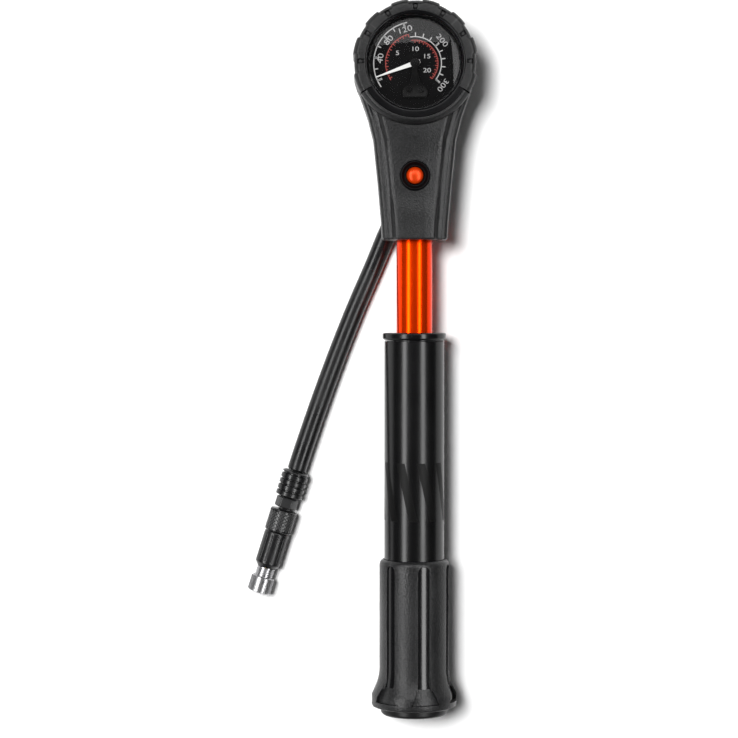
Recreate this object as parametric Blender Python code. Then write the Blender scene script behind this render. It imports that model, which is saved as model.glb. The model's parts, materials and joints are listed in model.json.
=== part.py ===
# Shock suspension pump, lying on its back.
# +Z is up through the gauge face, +Y runs from the grip to the gauge head, z = 0 is the surface it lies on.
# The origin is under the middle of the pump, the hose and its connector left out.
import math

import bmesh
import bpy
from mathutils import Vector

mm = 0.001

# Clearances
touch_gap = 0.3 * mm        # between faces that meet
slide_gap = 0.3 * mm        # round whatever slides or turns

# Overall sizes along the pump
neck_length = 72.9 * mm     # head foot to gauge centre
barrel_shown = 38.6 * mm    # barrel in sight between head and handle, as it lies
handle_length = 160.3 * mm  # collar top to the end of the cap

# Gauge
bumper_radius = 25.1 * mm
bumper_lobe = 0.7 * mm      # how far its pads stand out
pad_centres = (15.0, 45.0, 75.0)    # degrees each side of the top
pad_half_width = 5.0
pad_ramp = 1.5
long_pad_start = 105.0
bumper_wall = 1.9 * mm
bumper_lip = 0.7 * mm
bumper_half_turn = 119.4    # degrees each side of the top
seam_half_turn = 120.0
cup_wall = 1.6 * mm
cup_floor = 2.0 * mm
cup_height = 30.2 * mm
case_wall = 0.8 * mm
case_height = 27.3 * mm
dial_height = 26.0 * mm
dial_thickness = 0.8 * mm
lens_land = 0.7 * mm        # inside the case wall
lens_flange = 1.7 * mm
lens_thickness = 2.1 * mm
pointer_clearance = 2.4 * mm    # tip to the dial edge
pointer_angle = 110.0       # degrees left of the top, as it rests
bridge_length = 14.1 * mm
bridge_foot_width = 10.3 * mm
bridge_screw_drop = 11.2 * mm
bridge_screw_spread = 2.5 * mm
shaft_radius = 0.7 * mm

# Neck
foot_half_width = 13.6 * mm
neck_wall = 1.0 * mm        # behind the barrel
neck_depth = 22.0 * mm
pivot_height = 26.4 * mm    # head foot to the bleed button and hose swivel
socket_depth = 11.5 * mm
air_radius = 1.5 * mm

# Bleed valve
button_radius = 3.5 * mm
button_ring_radius = 6.2 * mm
pivot_wall = 0.4 * mm       # lands the bleed seat and the swivel bolt share with the button hole
socket_clearance = 4.0 * mm # bolt end to the barrel axis
stem_radius = 1.2 * mm

# Barrel, piston and rod
barrel_radius = 7.5 * mm
barrel_wall = 1.5 * mm
barrel_length = 159.8 * mm
barrel_seal_thickness = 1.0 * mm
gland_length = 8.0 * mm
guide_length = 9.7 * mm
rod_radius = 3.0 * mm
piston_length = 12.0 * mm
piston_groove = 3.0 * mm
seal_thickness = 1.5 * mm

# Handle
tube_radius = 12.55 * mm
tube_wall = 1.2 * mm
collar_radius = 13.35 * mm
collar_height = 2.4 * mm
bush_length = 12.0 * mm
bush_wall = 1.2 * mm
grip_radius = 14.6 * mm
core_wall = 0.9 * mm
grip_length = 61.9 * mm
flare_length = 11.2 * mm
flange_land = 5.2 * mm      # straight rim under the flare
cap_shown = 3.4 * mm
slot_count = 6
slot_width = 4.7 * mm
slot_margin = 2.0 * mm
pocket_length = 5.7 * mm
pocket_land = 3.3 * mm
pocket_widths = (5.5 * mm, 11.0 * mm)
cap_radius = 13.9 * mm
cap_plug = 4.0 * mm

# Hose and connector
hose_radius = 4.0 * mm
hose_clearance = 0.4 * mm   # under the hose as it lies
ferrule_start = 9.8 * mm
ferrule_length = 5.9 * mm
ferrule_radius = 4.3 * mm
banjo_radius = 6.0 * mm
banjo_thickness = 5.8 * mm
bolt_head_radius = 4.6 * mm
bolt_head_height = 1.3 * mm
bolt_radius = 3.0 * mm
washer_thickness = 0.6 * mm
hose_leave_angle = 26.0     # degrees from -Y towards -X
connector_angle = 17.4
connector_place = Vector((-49.9 * mm, -47.3 * mm, 5.8 * mm))
hose_points = 32
sleeve_radius = 5.7 * mm
sleeve_length = 11.6 * mm
sleeve_ribs = 4
hex_radius = 4.8 * mm
hex_length = 4.4 * mm
stem_tube_radius = 2.5 * mm
chuck_collar_radius = 5.75 * mm
chuck_collar_length = 9.7 * mm
chuck_radius = 5.3 * mm
chuck_length = 15.4 * mm
chuck_neck_radius = 3.8 * mm
chuck_neck_length = 4.0 * mm
nut_radius = 5.0 * mm
nut_length = 6.8 * mm
valve_thread_radius = 3.9 * mm
pin_radius = 0.8 * mm

# Heights and places that follow from the sizes
shell_reach = bumper_radius + bumper_lobe
head_reach = shell_reach * math.cos(math.radians(pad_centres[0] - pad_half_width))
total_length = head_reach + neck_length + barrel_shown + handle_length
foot_y = total_length / 2 - head_reach - neck_length
gauge_y = foot_y + neck_length
pivot_y = foot_y + pivot_height
collar_top_y = foot_y - barrel_shown
end_y = collar_top_y - handle_length
pivot_bore = button_radius + slide_gap + pivot_wall
hose_height = hose_radius + hose_clearance
banjo_low = hose_clearance + bolt_head_height + touch_gap
banjo_high = banjo_low + banjo_thickness
neck_back = banjo_high + touch_gap + washer_thickness + touch_gap
axis_z = neck_back + neck_wall + touch_gap + barrel_radius
flange_radius = axis_z      # the pump lies on its flange
neck_front = neck_back + neck_depth
bore_radius = barrel_radius - barrel_wall
barrel_top_y = foot_y + socket_depth
barrel_bottom_y = barrel_top_y - barrel_length
bush_bottom_y = collar_top_y - bush_length
grip_bottom = handle_length - cap_shown     # distances below the collar top
grip_start = grip_bottom - grip_length
flare_end = grip_bottom - flange_land
flare_start = flare_end - flare_length
slot_start = grip_start + slot_margin
pocket_end = grip_bottom - pocket_land
pocket_start = pocket_end - pocket_length
tube_bore = tube_radius - tube_wall
cup_radius = bumper_radius - bumper_wall - touch_gap - 0.3 * mm
pocket_radius = cup_radius - cup_wall
case_radius = pocket_radius - touch_gap
case_bore = case_radius - case_wall
lens_radius = case_bore - lens_land
pointer_length = case_bore - touch_gap - pointer_clearance
lens_z = cup_height + 0.7 * mm
ring_back = cup_height + touch_gap
ring_front = lens_z + lens_thickness + 1.0 * mm
bumper_front = ring_front + touch_gap + bumper_lip


def look(name, colour, roughness, metallic=0.0):
    """One Principled material."""
    material = bpy.data.materials.new(name)
    material.use_nodes = True
    shader = material.node_tree.nodes["Principled BSDF"]
    shader.inputs["Base Color"].default_value = (*colour, 1.0)
    shader.inputs["Roughness"].default_value = roughness
    shader.inputs["Metallic"].default_value = metallic
    return material


def empty(name, place, turn=(0.0, 0.0, 0.0)):
    """An axis to hang pieces on."""
    holder = bpy.data.objects.new(name, None)
    holder.location = place
    holder.rotation_euler = turn
    bpy.context.scene.collection.objects.link(holder)
    return holder


def finish(name, shape, material, parent):
    """Turn a bmesh into a shaded object under its parent."""
    bmesh.ops.recalc_face_normals(shape, faces=shape.faces)
    mesh = bpy.data.meshes.new(name)
    shape.to_mesh(mesh)
    shape.free()
    mesh.shade_smooth()
    mesh.set_sharp_from_angle(angle=math.radians(35.0))
    mesh.materials.append(material)
    piece = bpy.data.objects.new(name, mesh)
    piece.parent = parent
    bpy.context.scene.collection.objects.link(piece)
    return piece


def turned(name, outline, material, parent, sides=24):
    """Spin an outline of (radius, height) points once round the parent's Z axis."""
    shape = bmesh.new()
    points = [shape.verts.new((radius, 0.0, height)) for radius, height in outline]
    for first, second in zip(points, points[1:]):
        shape.edges.new((first, second))
    if outline[0][0] > 0.0:
        shape.edges.new((points[-1], points[0]))
    bmesh.ops.spin(shape, geom=shape.verts[:] + shape.edges[:], cent=(0, 0, 0), axis=(0, 0, 1),
                   dvec=(0, 0, 0), angle=math.tau, steps=sides, use_merge=True)
    bmesh.ops.remove_doubles(shape, verts=shape.verts, dist=0.001 * mm)
    return finish(name, shape, material, parent)


def ring(name, inner, outer, low, high, material, parent, sides=24):
    """A plain turned tube."""
    outline = [(inner, low), (outer, low), (outer, high), (inner, high)]
    return turned(name, outline, material, parent, sides)


def rod(name, radius, low, high, material, parent, sides=16):
    """A plain turned bar."""
    outline = [(0.0, low), (radius, low), (radius, high), (0.0, high)]
    return turned(name, outline, material, parent, sides)


def torus(name, ring_radius, thickness, height, material, parent, sides=24, facets=6):
    """An O-ring."""
    outline = []
    for step in range(facets):
        angle = math.tau * step / facets
        outline.append((ring_radius + thickness / 2 * math.cos(angle),
                        height + thickness / 2 * math.sin(angle)))
    return turned(name, outline, material, parent, sides)


def prism_shape(outline, low, high):
    """A bmesh of an outline in X and Y, raised from low to high."""
    shape = bmesh.new()
    face = shape.faces.new([shape.verts.new((x, y, low)) for x, y in outline])
    raised = bmesh.ops.extrude_face_region(shape, geom=[face])
    top = [item for item in raised["geom"] if isinstance(item, bmesh.types.BMVert)]
    bmesh.ops.translate(shape, vec=(0.0, 0.0, high - low), verts=top)
    return shape


def prism(name, outline, low, high, material, parent):
    """A flat piece cut to an outline."""
    return finish(name, prism_shape(outline, low, high), material, parent)


def combine(target, partner, operation):
    """Keep a Boolean of two objects on the first one."""
    modifier = target.modifiers.new(partner.name, 'BOOLEAN')
    modifier.operation = operation
    modifier.object = partner
    partner.hide_render = True
    partner.display_type = 'WIRE'


def cut(target, *cutters):
    for cutter in cutters:
        combine(target, cutter, 'DIFFERENCE')


def join(target, *parts):
    for part in parts:
        combine(target, part, 'UNION')


def on_circle(radius, degrees_from_top):
    """A point round the gauge centre; positive angles run clockwise, to +X."""
    angle = math.radians(degrees_from_top)
    return (radius * math.sin(angle), radius * math.cos(angle))


def spline_points(route, count):
    """Evenly spread points on a smooth Catmull-Rom curve through the route."""
    padded = [2 * route[0] - route[1], *route, 2 * route[-1] - route[-2]]
    dense = []
    for index in range(1, len(padded) - 2):
        before, start, end, after = padded[index - 1:index + 3]
        for step in range(40):
            t = step / 40
            dense.append(0.5 * (2 * start + (end - before) * t
                                + (2 * before - 5 * start + 4 * end - after) * t * t
                                + (3 * start - before - 3 * end + after) * t * t * t))
    dense.append(route[-1])
    lengths = [0.0]
    for first, second in zip(dense, dense[1:]):
        lengths.append(lengths[-1] + (second - first).length)
    spread = []
    place = 0
    for index in range(count):
        wanted = lengths[-1] * index / (count - 1)
        while place < len(lengths) - 2 and lengths[place + 1] < wanted:
            place += 1
        share = (wanted - lengths[place]) / (lengths[place + 1] - lengths[place])
        spread.append(dense[place].lerp(dense[place + 1], share))
    return spread


def tube_along(name, points, radius, material, parent, resolution=2):
    """A round wire or hose with filled ends."""
    data = bpy.data.curves.new(name, 'CURVE')
    data.dimensions = '3D'
    data.bevel_depth = radius
    data.bevel_resolution = resolution
    data.use_fill_caps = True
    spline = data.splines.new('POLY')
    spline.points.add(len(points) - 1)
    for knot, point in zip(spline.points, points):
        knot.co = (*point, 1.0)
    data.materials.append(material)
    piece = bpy.data.objects.new(name, data)
    piece.parent = parent
    bpy.context.scene.collection.objects.link(piece)
    return piece


for leftover in list(bpy.data.objects):
    bpy.data.objects.remove(leftover)

# Finishes
moulded_black = look("moulded_black", (0.036, 0.037, 0.040), 0.55)
rubber_black = look("rubber_black", (0.028, 0.028, 0.030), 0.75)
gloss_black = look("gloss_black", (0.010, 0.010, 0.011), 0.18)
grip_matte = look("grip_matte", (0.042, 0.043, 0.046), 0.70)
orange_anodised = look("orange_anodised", (0.92, 0.12, 0.005), 0.30, 0.75)
orange_button = look("orange_button", (0.85, 0.08, 0.006), 0.35)
chrome = look("chrome", (0.75, 0.75, 0.76), 0.15, 1.0)
brass = look("brass", (0.70, 0.48, 0.18), 0.30, 1.0)
dial_black = look("dial_black", (0.012, 0.012, 0.013), 0.50)
pointer_white = look("pointer_white", (0.85, 0.85, 0.83), 0.45)
clear_lens = look("clear_lens", (0.90, 0.92, 0.93), 0.05)
hose_black = look("hose_black", (0.030, 0.030, 0.032), 0.60)
steel = look("steel", (0.55, 0.56, 0.58), 0.30, 1.0)

# Axes: on pump_axis a height is a place along Y
pump_axis = empty("pump_axis", (0.0, 0.0, axis_z), (-math.pi / 2, 0.0, 0.0))
gauge_axis = empty("gauge_axis", (0.0, gauge_y, 0.0))
pivot_axis = empty("pivot_axis", (0.0, pivot_y, 0.0))
hose_line = empty("hose_line", (0.0, pivot_y, hose_height),
                  (math.pi / 2, 0.0, -math.radians(hose_leave_angle)))
connector_axis = empty("connector_axis", connector_place,
                       (math.pi / 2, 0.0, -math.radians(connector_angle)))


def head_outline():
    """Neck outline: foot corners, the waisted sides, and the shoulders that meet the bumper."""
    corner = 1.2 * mm
    side = [(foot_half_width - corner, foot_y),
            (foot_half_width, foot_y + corner),
            (foot_half_width + 0.4 * mm, foot_y + 7.7 * mm),
            (foot_half_width + 1.9 * mm, foot_y + 24.5 * mm),
            (foot_half_width + 3.6 * mm, foot_y + 41.2 * mm)]
    shoulder_x, shoulder_y = on_circle(shell_reach, seam_half_turn)
    start_x, start_y = side[-1]
    top_x, top_y = shoulder_x, gauge_y + shoulder_y
    for step in range(1, 4):
        share = step / 4
        side.append((start_x + (top_x - start_x) * share ** 1.6, start_y + (top_y - start_y) * share))
    side.append((top_x, top_y))
    inner_x, inner_y = on_circle(cup_radius - 2 * mm, seam_half_turn)
    side.append((inner_x, gauge_y + inner_y))
    mirrored = [(-x, y) for x, y in reversed(side)]
    return side + mirrored


def make_head():
    """Neck and gauge cup in one moulding, with its sockets, bores and air passages."""
    shape = prism_shape(head_outline(), neck_back, neck_front)
    rim = []
    for edge in shape.edges:
        low_end, high_end = sorted(vert.co.z for vert in edge.verts)
        level = high_end - low_end < 0.01 * mm
        reach = min(math.hypot(vert.co.x, vert.co.y - gauge_y) for vert in edge.verts)
        if level and reach > cup_radius:
            rim.append(edge)
    bmesh.ops.bevel(shape, geom=rim, offset=3.2 * mm, segments=2, profile=0.5, affect='EDGES')
    shell = finish("head_shell", shape, moulded_black, None)
    cup = turned("cup_body", [(0.0, 0.0), (cup_radius - 1.5 * mm, 0.0), (cup_radius, 1.5 * mm),
                              (cup_radius, cup_height + 1.0 * mm), (0.0, cup_height + 1.0 * mm)],
                 moulded_black, gauge_axis, 50)
    join(shell, cup)
    over = neck_front + 6 * mm
    ring_room = bumper_radius - bumper_wall
    pocket = turned("pocket_cut", [(0.0, cup_floor), (pocket_radius, cup_floor), (pocket_radius, cup_height),
                                   (ring_room, cup_height), (ring_room, over), (0.0, over)],
                    moulded_black, gauge_axis, 52)
    socket = barrel_radius + touch_gap
    seat_low, seat_high = barrel_top_y + barrel_seal_thickness + 0.4 * mm, barrel_top_y + 2.9 * mm
    poppet_room, poppet_end = bore_radius - 2 * mm, barrel_top_y + 7.5 * mm
    stem_room = 2.8 * mm
    stem_low, stem_high = gauge_y - pocket_radius - 6 * mm, gauge_y - pocket_radius + 3 * mm
    bore = turned("bore_cut", [(0.0, foot_y - 1 * mm), (socket, foot_y - 1 * mm),
                               (socket, seat_low), (bore_radius, seat_low), (bore_radius, seat_high),
                               (poppet_room, seat_high), (poppet_room, poppet_end), (air_radius, poppet_end),
                               (air_radius, stem_low), (stem_room, stem_low), (stem_room, stem_high),
                               (0.0, stem_high)], moulded_black, pump_axis, 30)
    button_room, button_floor = button_ring_radius + touch_gap, neck_front - 4.0 * mm
    pivot = turned("pivot_cut", [(0.0, neck_back - 1 * mm), (pivot_bore, neck_back - 1 * mm),
                                 (pivot_bore, button_floor), (button_room, button_floor),
                                 (button_room, over), (0.0, over)], moulded_black, pivot_axis, 32)
    cut(shell, pocket, bore, pivot)


def lobe_reach(angle):
    """Outer radius of the bumper at an angle from the top."""
    turn = abs(angle)
    near = pad_half_width + pad_ramp / 2
    on_pad = any(abs(turn - centre) < near for centre in pad_centres) or turn > long_pad_start - pad_ramp / 2
    return bumper_radius + (bumper_lobe if on_pad else 0.0)


def bumper_angles():
    """Section angles, with a step up and down at each pad."""
    angles = [0.0]
    far = pad_half_width + pad_ramp
    for centre in pad_centres:
        angles += [centre - far, centre - pad_half_width, centre, centre + pad_half_width, centre + far]
    angles += [(angles[-1] + long_pad_start) / 2, long_pad_start - pad_ramp, long_pad_start,
               (long_pad_start + bumper_half_turn) / 2, bumper_half_turn]
    return [-angle for angle in reversed(angles[1:])] + angles


def make_bumper():
    """Rubber guard round the upper part of the gauge, with raised pads."""
    inner = bumper_radius - bumper_wall
    lip_radius = lens_radius + 1.4 * mm
    shape = bmesh.new()
    sections = []
    for angle in bumper_angles():
        outer = lobe_reach(angle)
        section = [(inner, 3.0 * mm), (outer - 1.0 * mm, 3.0 * mm), (outer, 4.2 * mm),
                   (outer, bumper_front - 2.2 * mm), (outer - 1.6 * mm, bumper_front),
                   (lip_radius + 0.6 * mm, bumper_front), (lip_radius, bumper_front - bumper_lip + 0.2 * mm),
                   (lip_radius, bumper_front - bumper_lip), (inner, bumper_front - bumper_lip)]
        sections.append([shape.verts.new((*on_circle(radius, angle), height)) for radius, height in section])
    count = len(sections[0])
    for first, second in zip(sections, sections[1:]):
        for index in range(count):
            after = (index + 1) % count
            shape.faces.new((first[index], first[after], second[after], second[index]))
    shape.faces.new(sections[0])
    shape.faces.new(sections[-1])
    finish("gauge_bumper", shape, rubber_black, gauge_axis)


def make_gauge():
    """Gauge in its cup: case, movement, dial, bridge, lens and the ring that holds it."""
    floor = cup_floor + touch_gap
    case = turned("gauge_case", [(0.0, floor), (case_radius, floor), (case_radius, floor + case_height),
                                 (case_bore, floor + case_height), (case_bore, floor + case_wall),
                                 (0.0, floor + case_wall)], steel, gauge_axis, 36)
    port = rod("case_port_cut", 2.8 * mm, gauge_y - case_radius - 2 * mm, gauge_y - case_bore + 2 * mm,
               steel, pump_axis, 16)
    cut(case, port)
    block_near = gauge_y - case_bore + 5.0 * mm
    block_far = block_near + 6.0 * mm
    socket = prism("gauge_socket", [(-4 * mm, block_near), (4 * mm, block_near),
                                    (4 * mm, block_far), (-4 * mm, block_far)],
                   axis_z - 4 * mm, axis_z + 4 * mm, brass, None)
    stem = rod("socket_stem", 2.5 * mm, gauge_y - case_radius - 4 * mm, block_near + 1 * mm, brass, pump_axis, 16)
    stem_air = rod("socket_air_cut", 1.0 * mm, gauge_y - case_radius - 5 * mm, block_far - 2 * mm,
                   brass, pump_axis, 12)
    join(socket, stem)
    cut(socket, stem_air)
    coil_radius = 13.5 * mm
    coil = [Vector((*on_circle(coil_radius, angle), axis_z)) for angle in range(-152, 105, 12)]
    tube_along("bourdon_coil", coil, 1.2 * mm, brass, gauge_axis)
    ring("gauge_movement", shaft_radius + slide_gap, 6.0 * mm, floor + 6 * mm, floor + 15 * mm,
         brass, gauge_axis, 16)
    dial_radius = case_bore - touch_gap
    dial_top = dial_height + dial_thickness
    ring("dial_plate", shaft_radius + slide_gap, dial_radius, dial_height, dial_top, dial_black, gauge_axis, 36)
    torus("lens_seal", (case_radius + case_bore) / 2, 0.8 * mm, floor + case_height + 0.65 * mm,
          rubber_black, gauge_axis, 32, 5)
    flange = lens_radius + lens_flange
    middle = lens_z + lens_thickness * 0.45
    turned("gauge_lens", [(0.0, lens_z), (flange, lens_z), (flange, middle), (lens_radius, middle),
                          (lens_radius, lens_z + lens_thickness - 0.3 * mm),
                          (lens_radius - 1.0 * mm, lens_z + lens_thickness),
                          (0.0, lens_z + lens_thickness + 0.3 * mm)], clear_lens, gauge_axis, 40)
    outer = bumper_radius - bumper_wall - touch_gap
    turned("lens_ring", [(flange + touch_gap, ring_back), (outer, ring_back), (outer, ring_front),
                         (lens_radius + touch_gap + 0.9 * mm, ring_front),
                         (lens_radius + touch_gap, ring_front - 0.9 * mm),
                         (lens_radius + touch_gap, middle + touch_gap),
                         (flange + touch_gap, middle + touch_gap)], gloss_black, gauge_axis, 40)
    return dial_top


def make_pointer(dial_top):
    """White hand on its shaft, and the screwed bridge that runs over its hub."""
    hand_back = dial_top + 0.9 * mm
    hand_front = hand_back + 0.5 * mm
    tip_x, tip_y = on_circle(pointer_length, -pointer_angle)
    side_x, side_y = on_circle(1.0, -pointer_angle + 90)
    hub, tip_half = 1.15 * mm, 0.25 * mm
    blade = [(side_x * hub, side_y * hub), (tip_x + side_x * tip_half, tip_y + side_y * tip_half),
             (tip_x - side_x * tip_half, tip_y - side_y * tip_half), (-side_x * hub, -side_y * hub)]
    hand = prism("pointer", blade, hand_back, hand_front, pointer_white, gauge_axis)
    boss = rod("pointer_boss", 1.5 * mm, hand_back - 0.2 * mm, hand_front + 0.2 * mm, pointer_white,
               gauge_axis, 16)
    join(hand, boss)
    rod("pointer_shaft", shaft_radius, cup_floor + 7 * mm, hand_back - 0.5 * mm, steel, gauge_axis, 16)
    bridge_front = hand_front + 1.2 * mm
    head, neck, foot = 2.0 * mm, 1.25 * mm, bridge_foot_width / 2
    side = [on_circle(head, angle) for angle in range(0, 141, 20)]
    side += [(neck, -3.2 * mm), (neck + 0.3 * mm, -6.0 * mm), (neck + 1.3 * mm, -8.6 * mm),
             (foot - 0.6 * mm, -10.6 * mm), (foot, -12.2 * mm), (foot, -bridge_length + 0.8 * mm),
             (foot - 0.8 * mm, -bridge_length)]
    outline = side + [(-x, y) for x, y in reversed(side[1:])]
    bridge = prism("pointer_bridge", outline, dial_top + touch_gap, bridge_front, moulded_black, gauge_axis)
    room = prism("bridge_room_cut", [(-4 * mm, -6.5 * mm), (4 * mm, -6.5 * mm), (4 * mm, 4 * mm),
                                     (-4 * mm, 4 * mm)], dial_height, hand_front + 0.6 * mm,
                 moulded_black, gauge_axis)
    cut(bridge, room)
    for side_name, side_sign in (("left", -1), ("right", 1)):
        screw_axis = empty("bridge_screw_axis_" + side_name,
                           (side_sign * bridge_screw_spread, gauge_y - bridge_screw_drop, 0.0))
        hole = rod("screw_hole_cut_" + side_name, 0.9 * mm, dial_top - 1 * mm, bridge_front + 1 * mm,
                   steel, screw_axis, 12)
        cut(bridge, hole)
        turned("bridge_screw_" + side_name, [(0.0, dial_top + 0.3 * mm), (0.6 * mm, dial_top + 0.3 * mm),
                                             (0.6 * mm, bridge_front + 0.3 * mm),
                                             (1.3 * mm, bridge_front + 0.3 * mm),
                                             (1.1 * mm, bridge_front + 0.8 * mm),
                                             (0.0, bridge_front + 0.9 * mm)], steel, screw_axis, 12)


def make_bleed_valve():
    """Sprung button in the front of the neck, over the stem that lets air out."""
    floor = neck_front - 4.0 * mm + touch_gap
    hole = button_radius + slide_gap
    turned("button_ring", [(hole, floor), (button_ring_radius, floor), (button_ring_radius, neck_front + 0.3 * mm),
                           (button_ring_radius - 0.6 * mm, neck_front + 0.3 * mm),
                           (hole + 0.6 * mm, neck_front - 1.6 * mm), (hole, neck_front - 1.6 * mm)],
           moulded_black, pivot_axis, 24)
    back = neck_front - 5.5 * mm
    top = neck_front + 0.9 * mm
    turned("bleed_button", [(0.0, back), (button_radius, back), (button_radius, top - 1.2 * mm),
                            (button_radius * 0.85, top - 0.5 * mm), (button_radius * 0.5, top - 0.1 * mm),
                            (0.0, top)], orange_button, pivot_axis, 24)
    seat_top = axis_z + 2.2 * mm
    ring("bleed_seat", stem_radius + slide_gap, pivot_bore - touch_gap, seat_top - 1.7 * mm, seat_top,
         brass, pivot_axis, 20)
    turned("bleed_stem", [(0.0, seat_top - 4.0 * mm), (2.4 * mm, seat_top - 4.0 * mm),
                          (2.4 * mm, seat_top - 2.8 * mm), (stem_radius, seat_top - 2.0 * mm),
                          (stem_radius, back - touch_gap), (0.0, back - touch_gap)], steel, pivot_axis, 16)
    low, high = seat_top + 0.7 * mm, back - 0.7 * mm
    turns, steps = 3, 27
    wire = []
    for step in range(steps + 1):
        angle = math.tau * turns * step / steps
        wire.append(Vector((2.4 * mm * math.cos(angle), 2.4 * mm * math.sin(angle),
                            low + (high - low) * step / steps)))
    tube_along("bleed_spring", wire, 0.3 * mm, steel, pivot_axis, 1)


def make_barrel():
    """Barrel with its seal, the one-way valve over it and the guides at its foot."""
    ring("cylinder_tube", bore_radius, barrel_radius, barrel_bottom_y, barrel_top_y, orange_anodised, pump_axis, 36)
    torus("barrel_seal", barrel_radius - barrel_wall / 2, barrel_seal_thickness,
          barrel_top_y + 0.2 * mm + barrel_seal_thickness / 2, rubber_black, pump_axis, 28, 6)
    seat_low = barrel_top_y + touch_gap
    ring("valve_seat", air_radius, bore_radius - touch_gap, seat_low, seat_low + 2.0 * mm, brass, pump_axis, 24)
    poppet_low = seat_low + 2.3 * mm
    turned("check_poppet", [(0.0, poppet_low), (3.0 * mm, poppet_low), (3.0 * mm, poppet_low + 1.2 * mm),
                            (1.0 * mm, poppet_low + 1.6 * mm), (1.0 * mm, poppet_low + 3.0 * mm),
                            (0.0, poppet_low + 3.0 * mm)], rubber_black, pump_axis, 24)
    ring("cylinder_gland", rod_radius + slide_gap, bore_radius - touch_gap, barrel_bottom_y,
         barrel_bottom_y + gland_length, brass, pump_axis, 24)
    ring("guide_ring", barrel_radius + touch_gap, tube_bore - slide_gap, barrel_bottom_y,
         barrel_bottom_y + guide_length, moulded_black, pump_axis, 32)


def make_piston():
    """Piston and rod that the grip pulls, with the screw that holds the rod in the end cap."""
    piston_top = barrel_top_y - 1.0 * mm - (barrel_shown - touch_gap)
    piston_low = piston_top - piston_length
    groove_top = piston_top - 3.0 * mm
    outer = bore_radius - slide_gap
    turned("piston_head", [(0.0, piston_low), (outer, piston_low), (outer, groove_top - piston_groove),
                           (outer - 2.0 * mm, groove_top - piston_groove), (outer - 2.0 * mm, groove_top),
                           (outer, groove_top), (outer, piston_top), (0.0, piston_top)],
           moulded_black, pump_axis, 20)
    torus("piston_seal", outer - seal_thickness / 2, seal_thickness, groove_top - piston_groove / 2,
          rubber_black, pump_axis, 24, 6)
    rod_low = end_y + cap_plug + cap_shown + touch_gap
    turned("piston_rod", [(0.0, rod_low + 12 * mm), (1.8 * mm, rod_low + 12 * mm), (1.8 * mm, rod_low),
                          (rod_radius, rod_low), (rod_radius, piston_low - touch_gap),
                          (0.0, piston_low - touch_gap)], steel, pump_axis, 24)
    turned("rod_screw", [(0.0, end_y + 0.2 * mm), (3.3 * mm, end_y + 0.2 * mm), (3.3 * mm, end_y + 1.5 * mm),
                         (1.5 * mm, end_y + 1.5 * mm), (1.5 * mm, rod_low + 10 * mm), (0.0, rod_low + 10 * mm)],
           steel, pump_axis, 16)


def make_handle():
    """Collar, bush, tube and end cap of the handle."""
    under = collar_top_y - collar_height
    plug = tube_bore - touch_gap
    bush_outer = barrel_radius + slide_gap + bush_wall
    bore = barrel_radius + slide_gap
    turned("handle_collar", [(bore, collar_top_y), (collar_radius - 0.5 * mm, collar_top_y),
                             (collar_radius, collar_top_y - 0.5 * mm), (collar_radius, under),
                             (tube_radius, under - 0.8 * mm), (plug, under - 0.8 * mm),
                             (plug, bush_bottom_y + 1.3 * mm), (bush_outer + touch_gap, bush_bottom_y + 1.3 * mm),
                             (bush_outer + touch_gap, under), (bore, under)], gloss_black, pump_axis, 40)
    ring("guide_bush", bore, bush_outer, bush_bottom_y, under - touch_gap, moulded_black, pump_axis, 24)
    tube_low = end_y + cap_shown + touch_gap
    ring("handle_tube", tube_bore, tube_radius, tube_low, under - 0.8 * mm - touch_gap, gloss_black, pump_axis, 40)
    turned("end_cap", [(1.9 * mm, end_y + cap_plug + cap_shown), (plug, end_y + cap_plug + cap_shown),
                       (plug, end_y + cap_shown), (cap_radius, end_y + cap_shown),
                       (cap_radius, end_y + 0.8 * mm), (cap_radius - 0.8 * mm, end_y), (3.6 * mm, end_y),
                       (3.6 * mm, end_y + 1.8 * mm), (1.9 * mm, end_y + 1.8 * mm)], gloss_black, pump_axis, 32)


def flare(below_collar, start_radius, end_radius):
    """Radius of the grip's flared end at a distance below the collar top."""
    share = (below_collar - flare_start) / (flare_end - flare_start)
    share = min(max(share, 0.0), 1.0)
    return start_radius + (end_radius - start_radius) * (1 - math.cos(share * math.pi / 2)) ** 1.1


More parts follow.
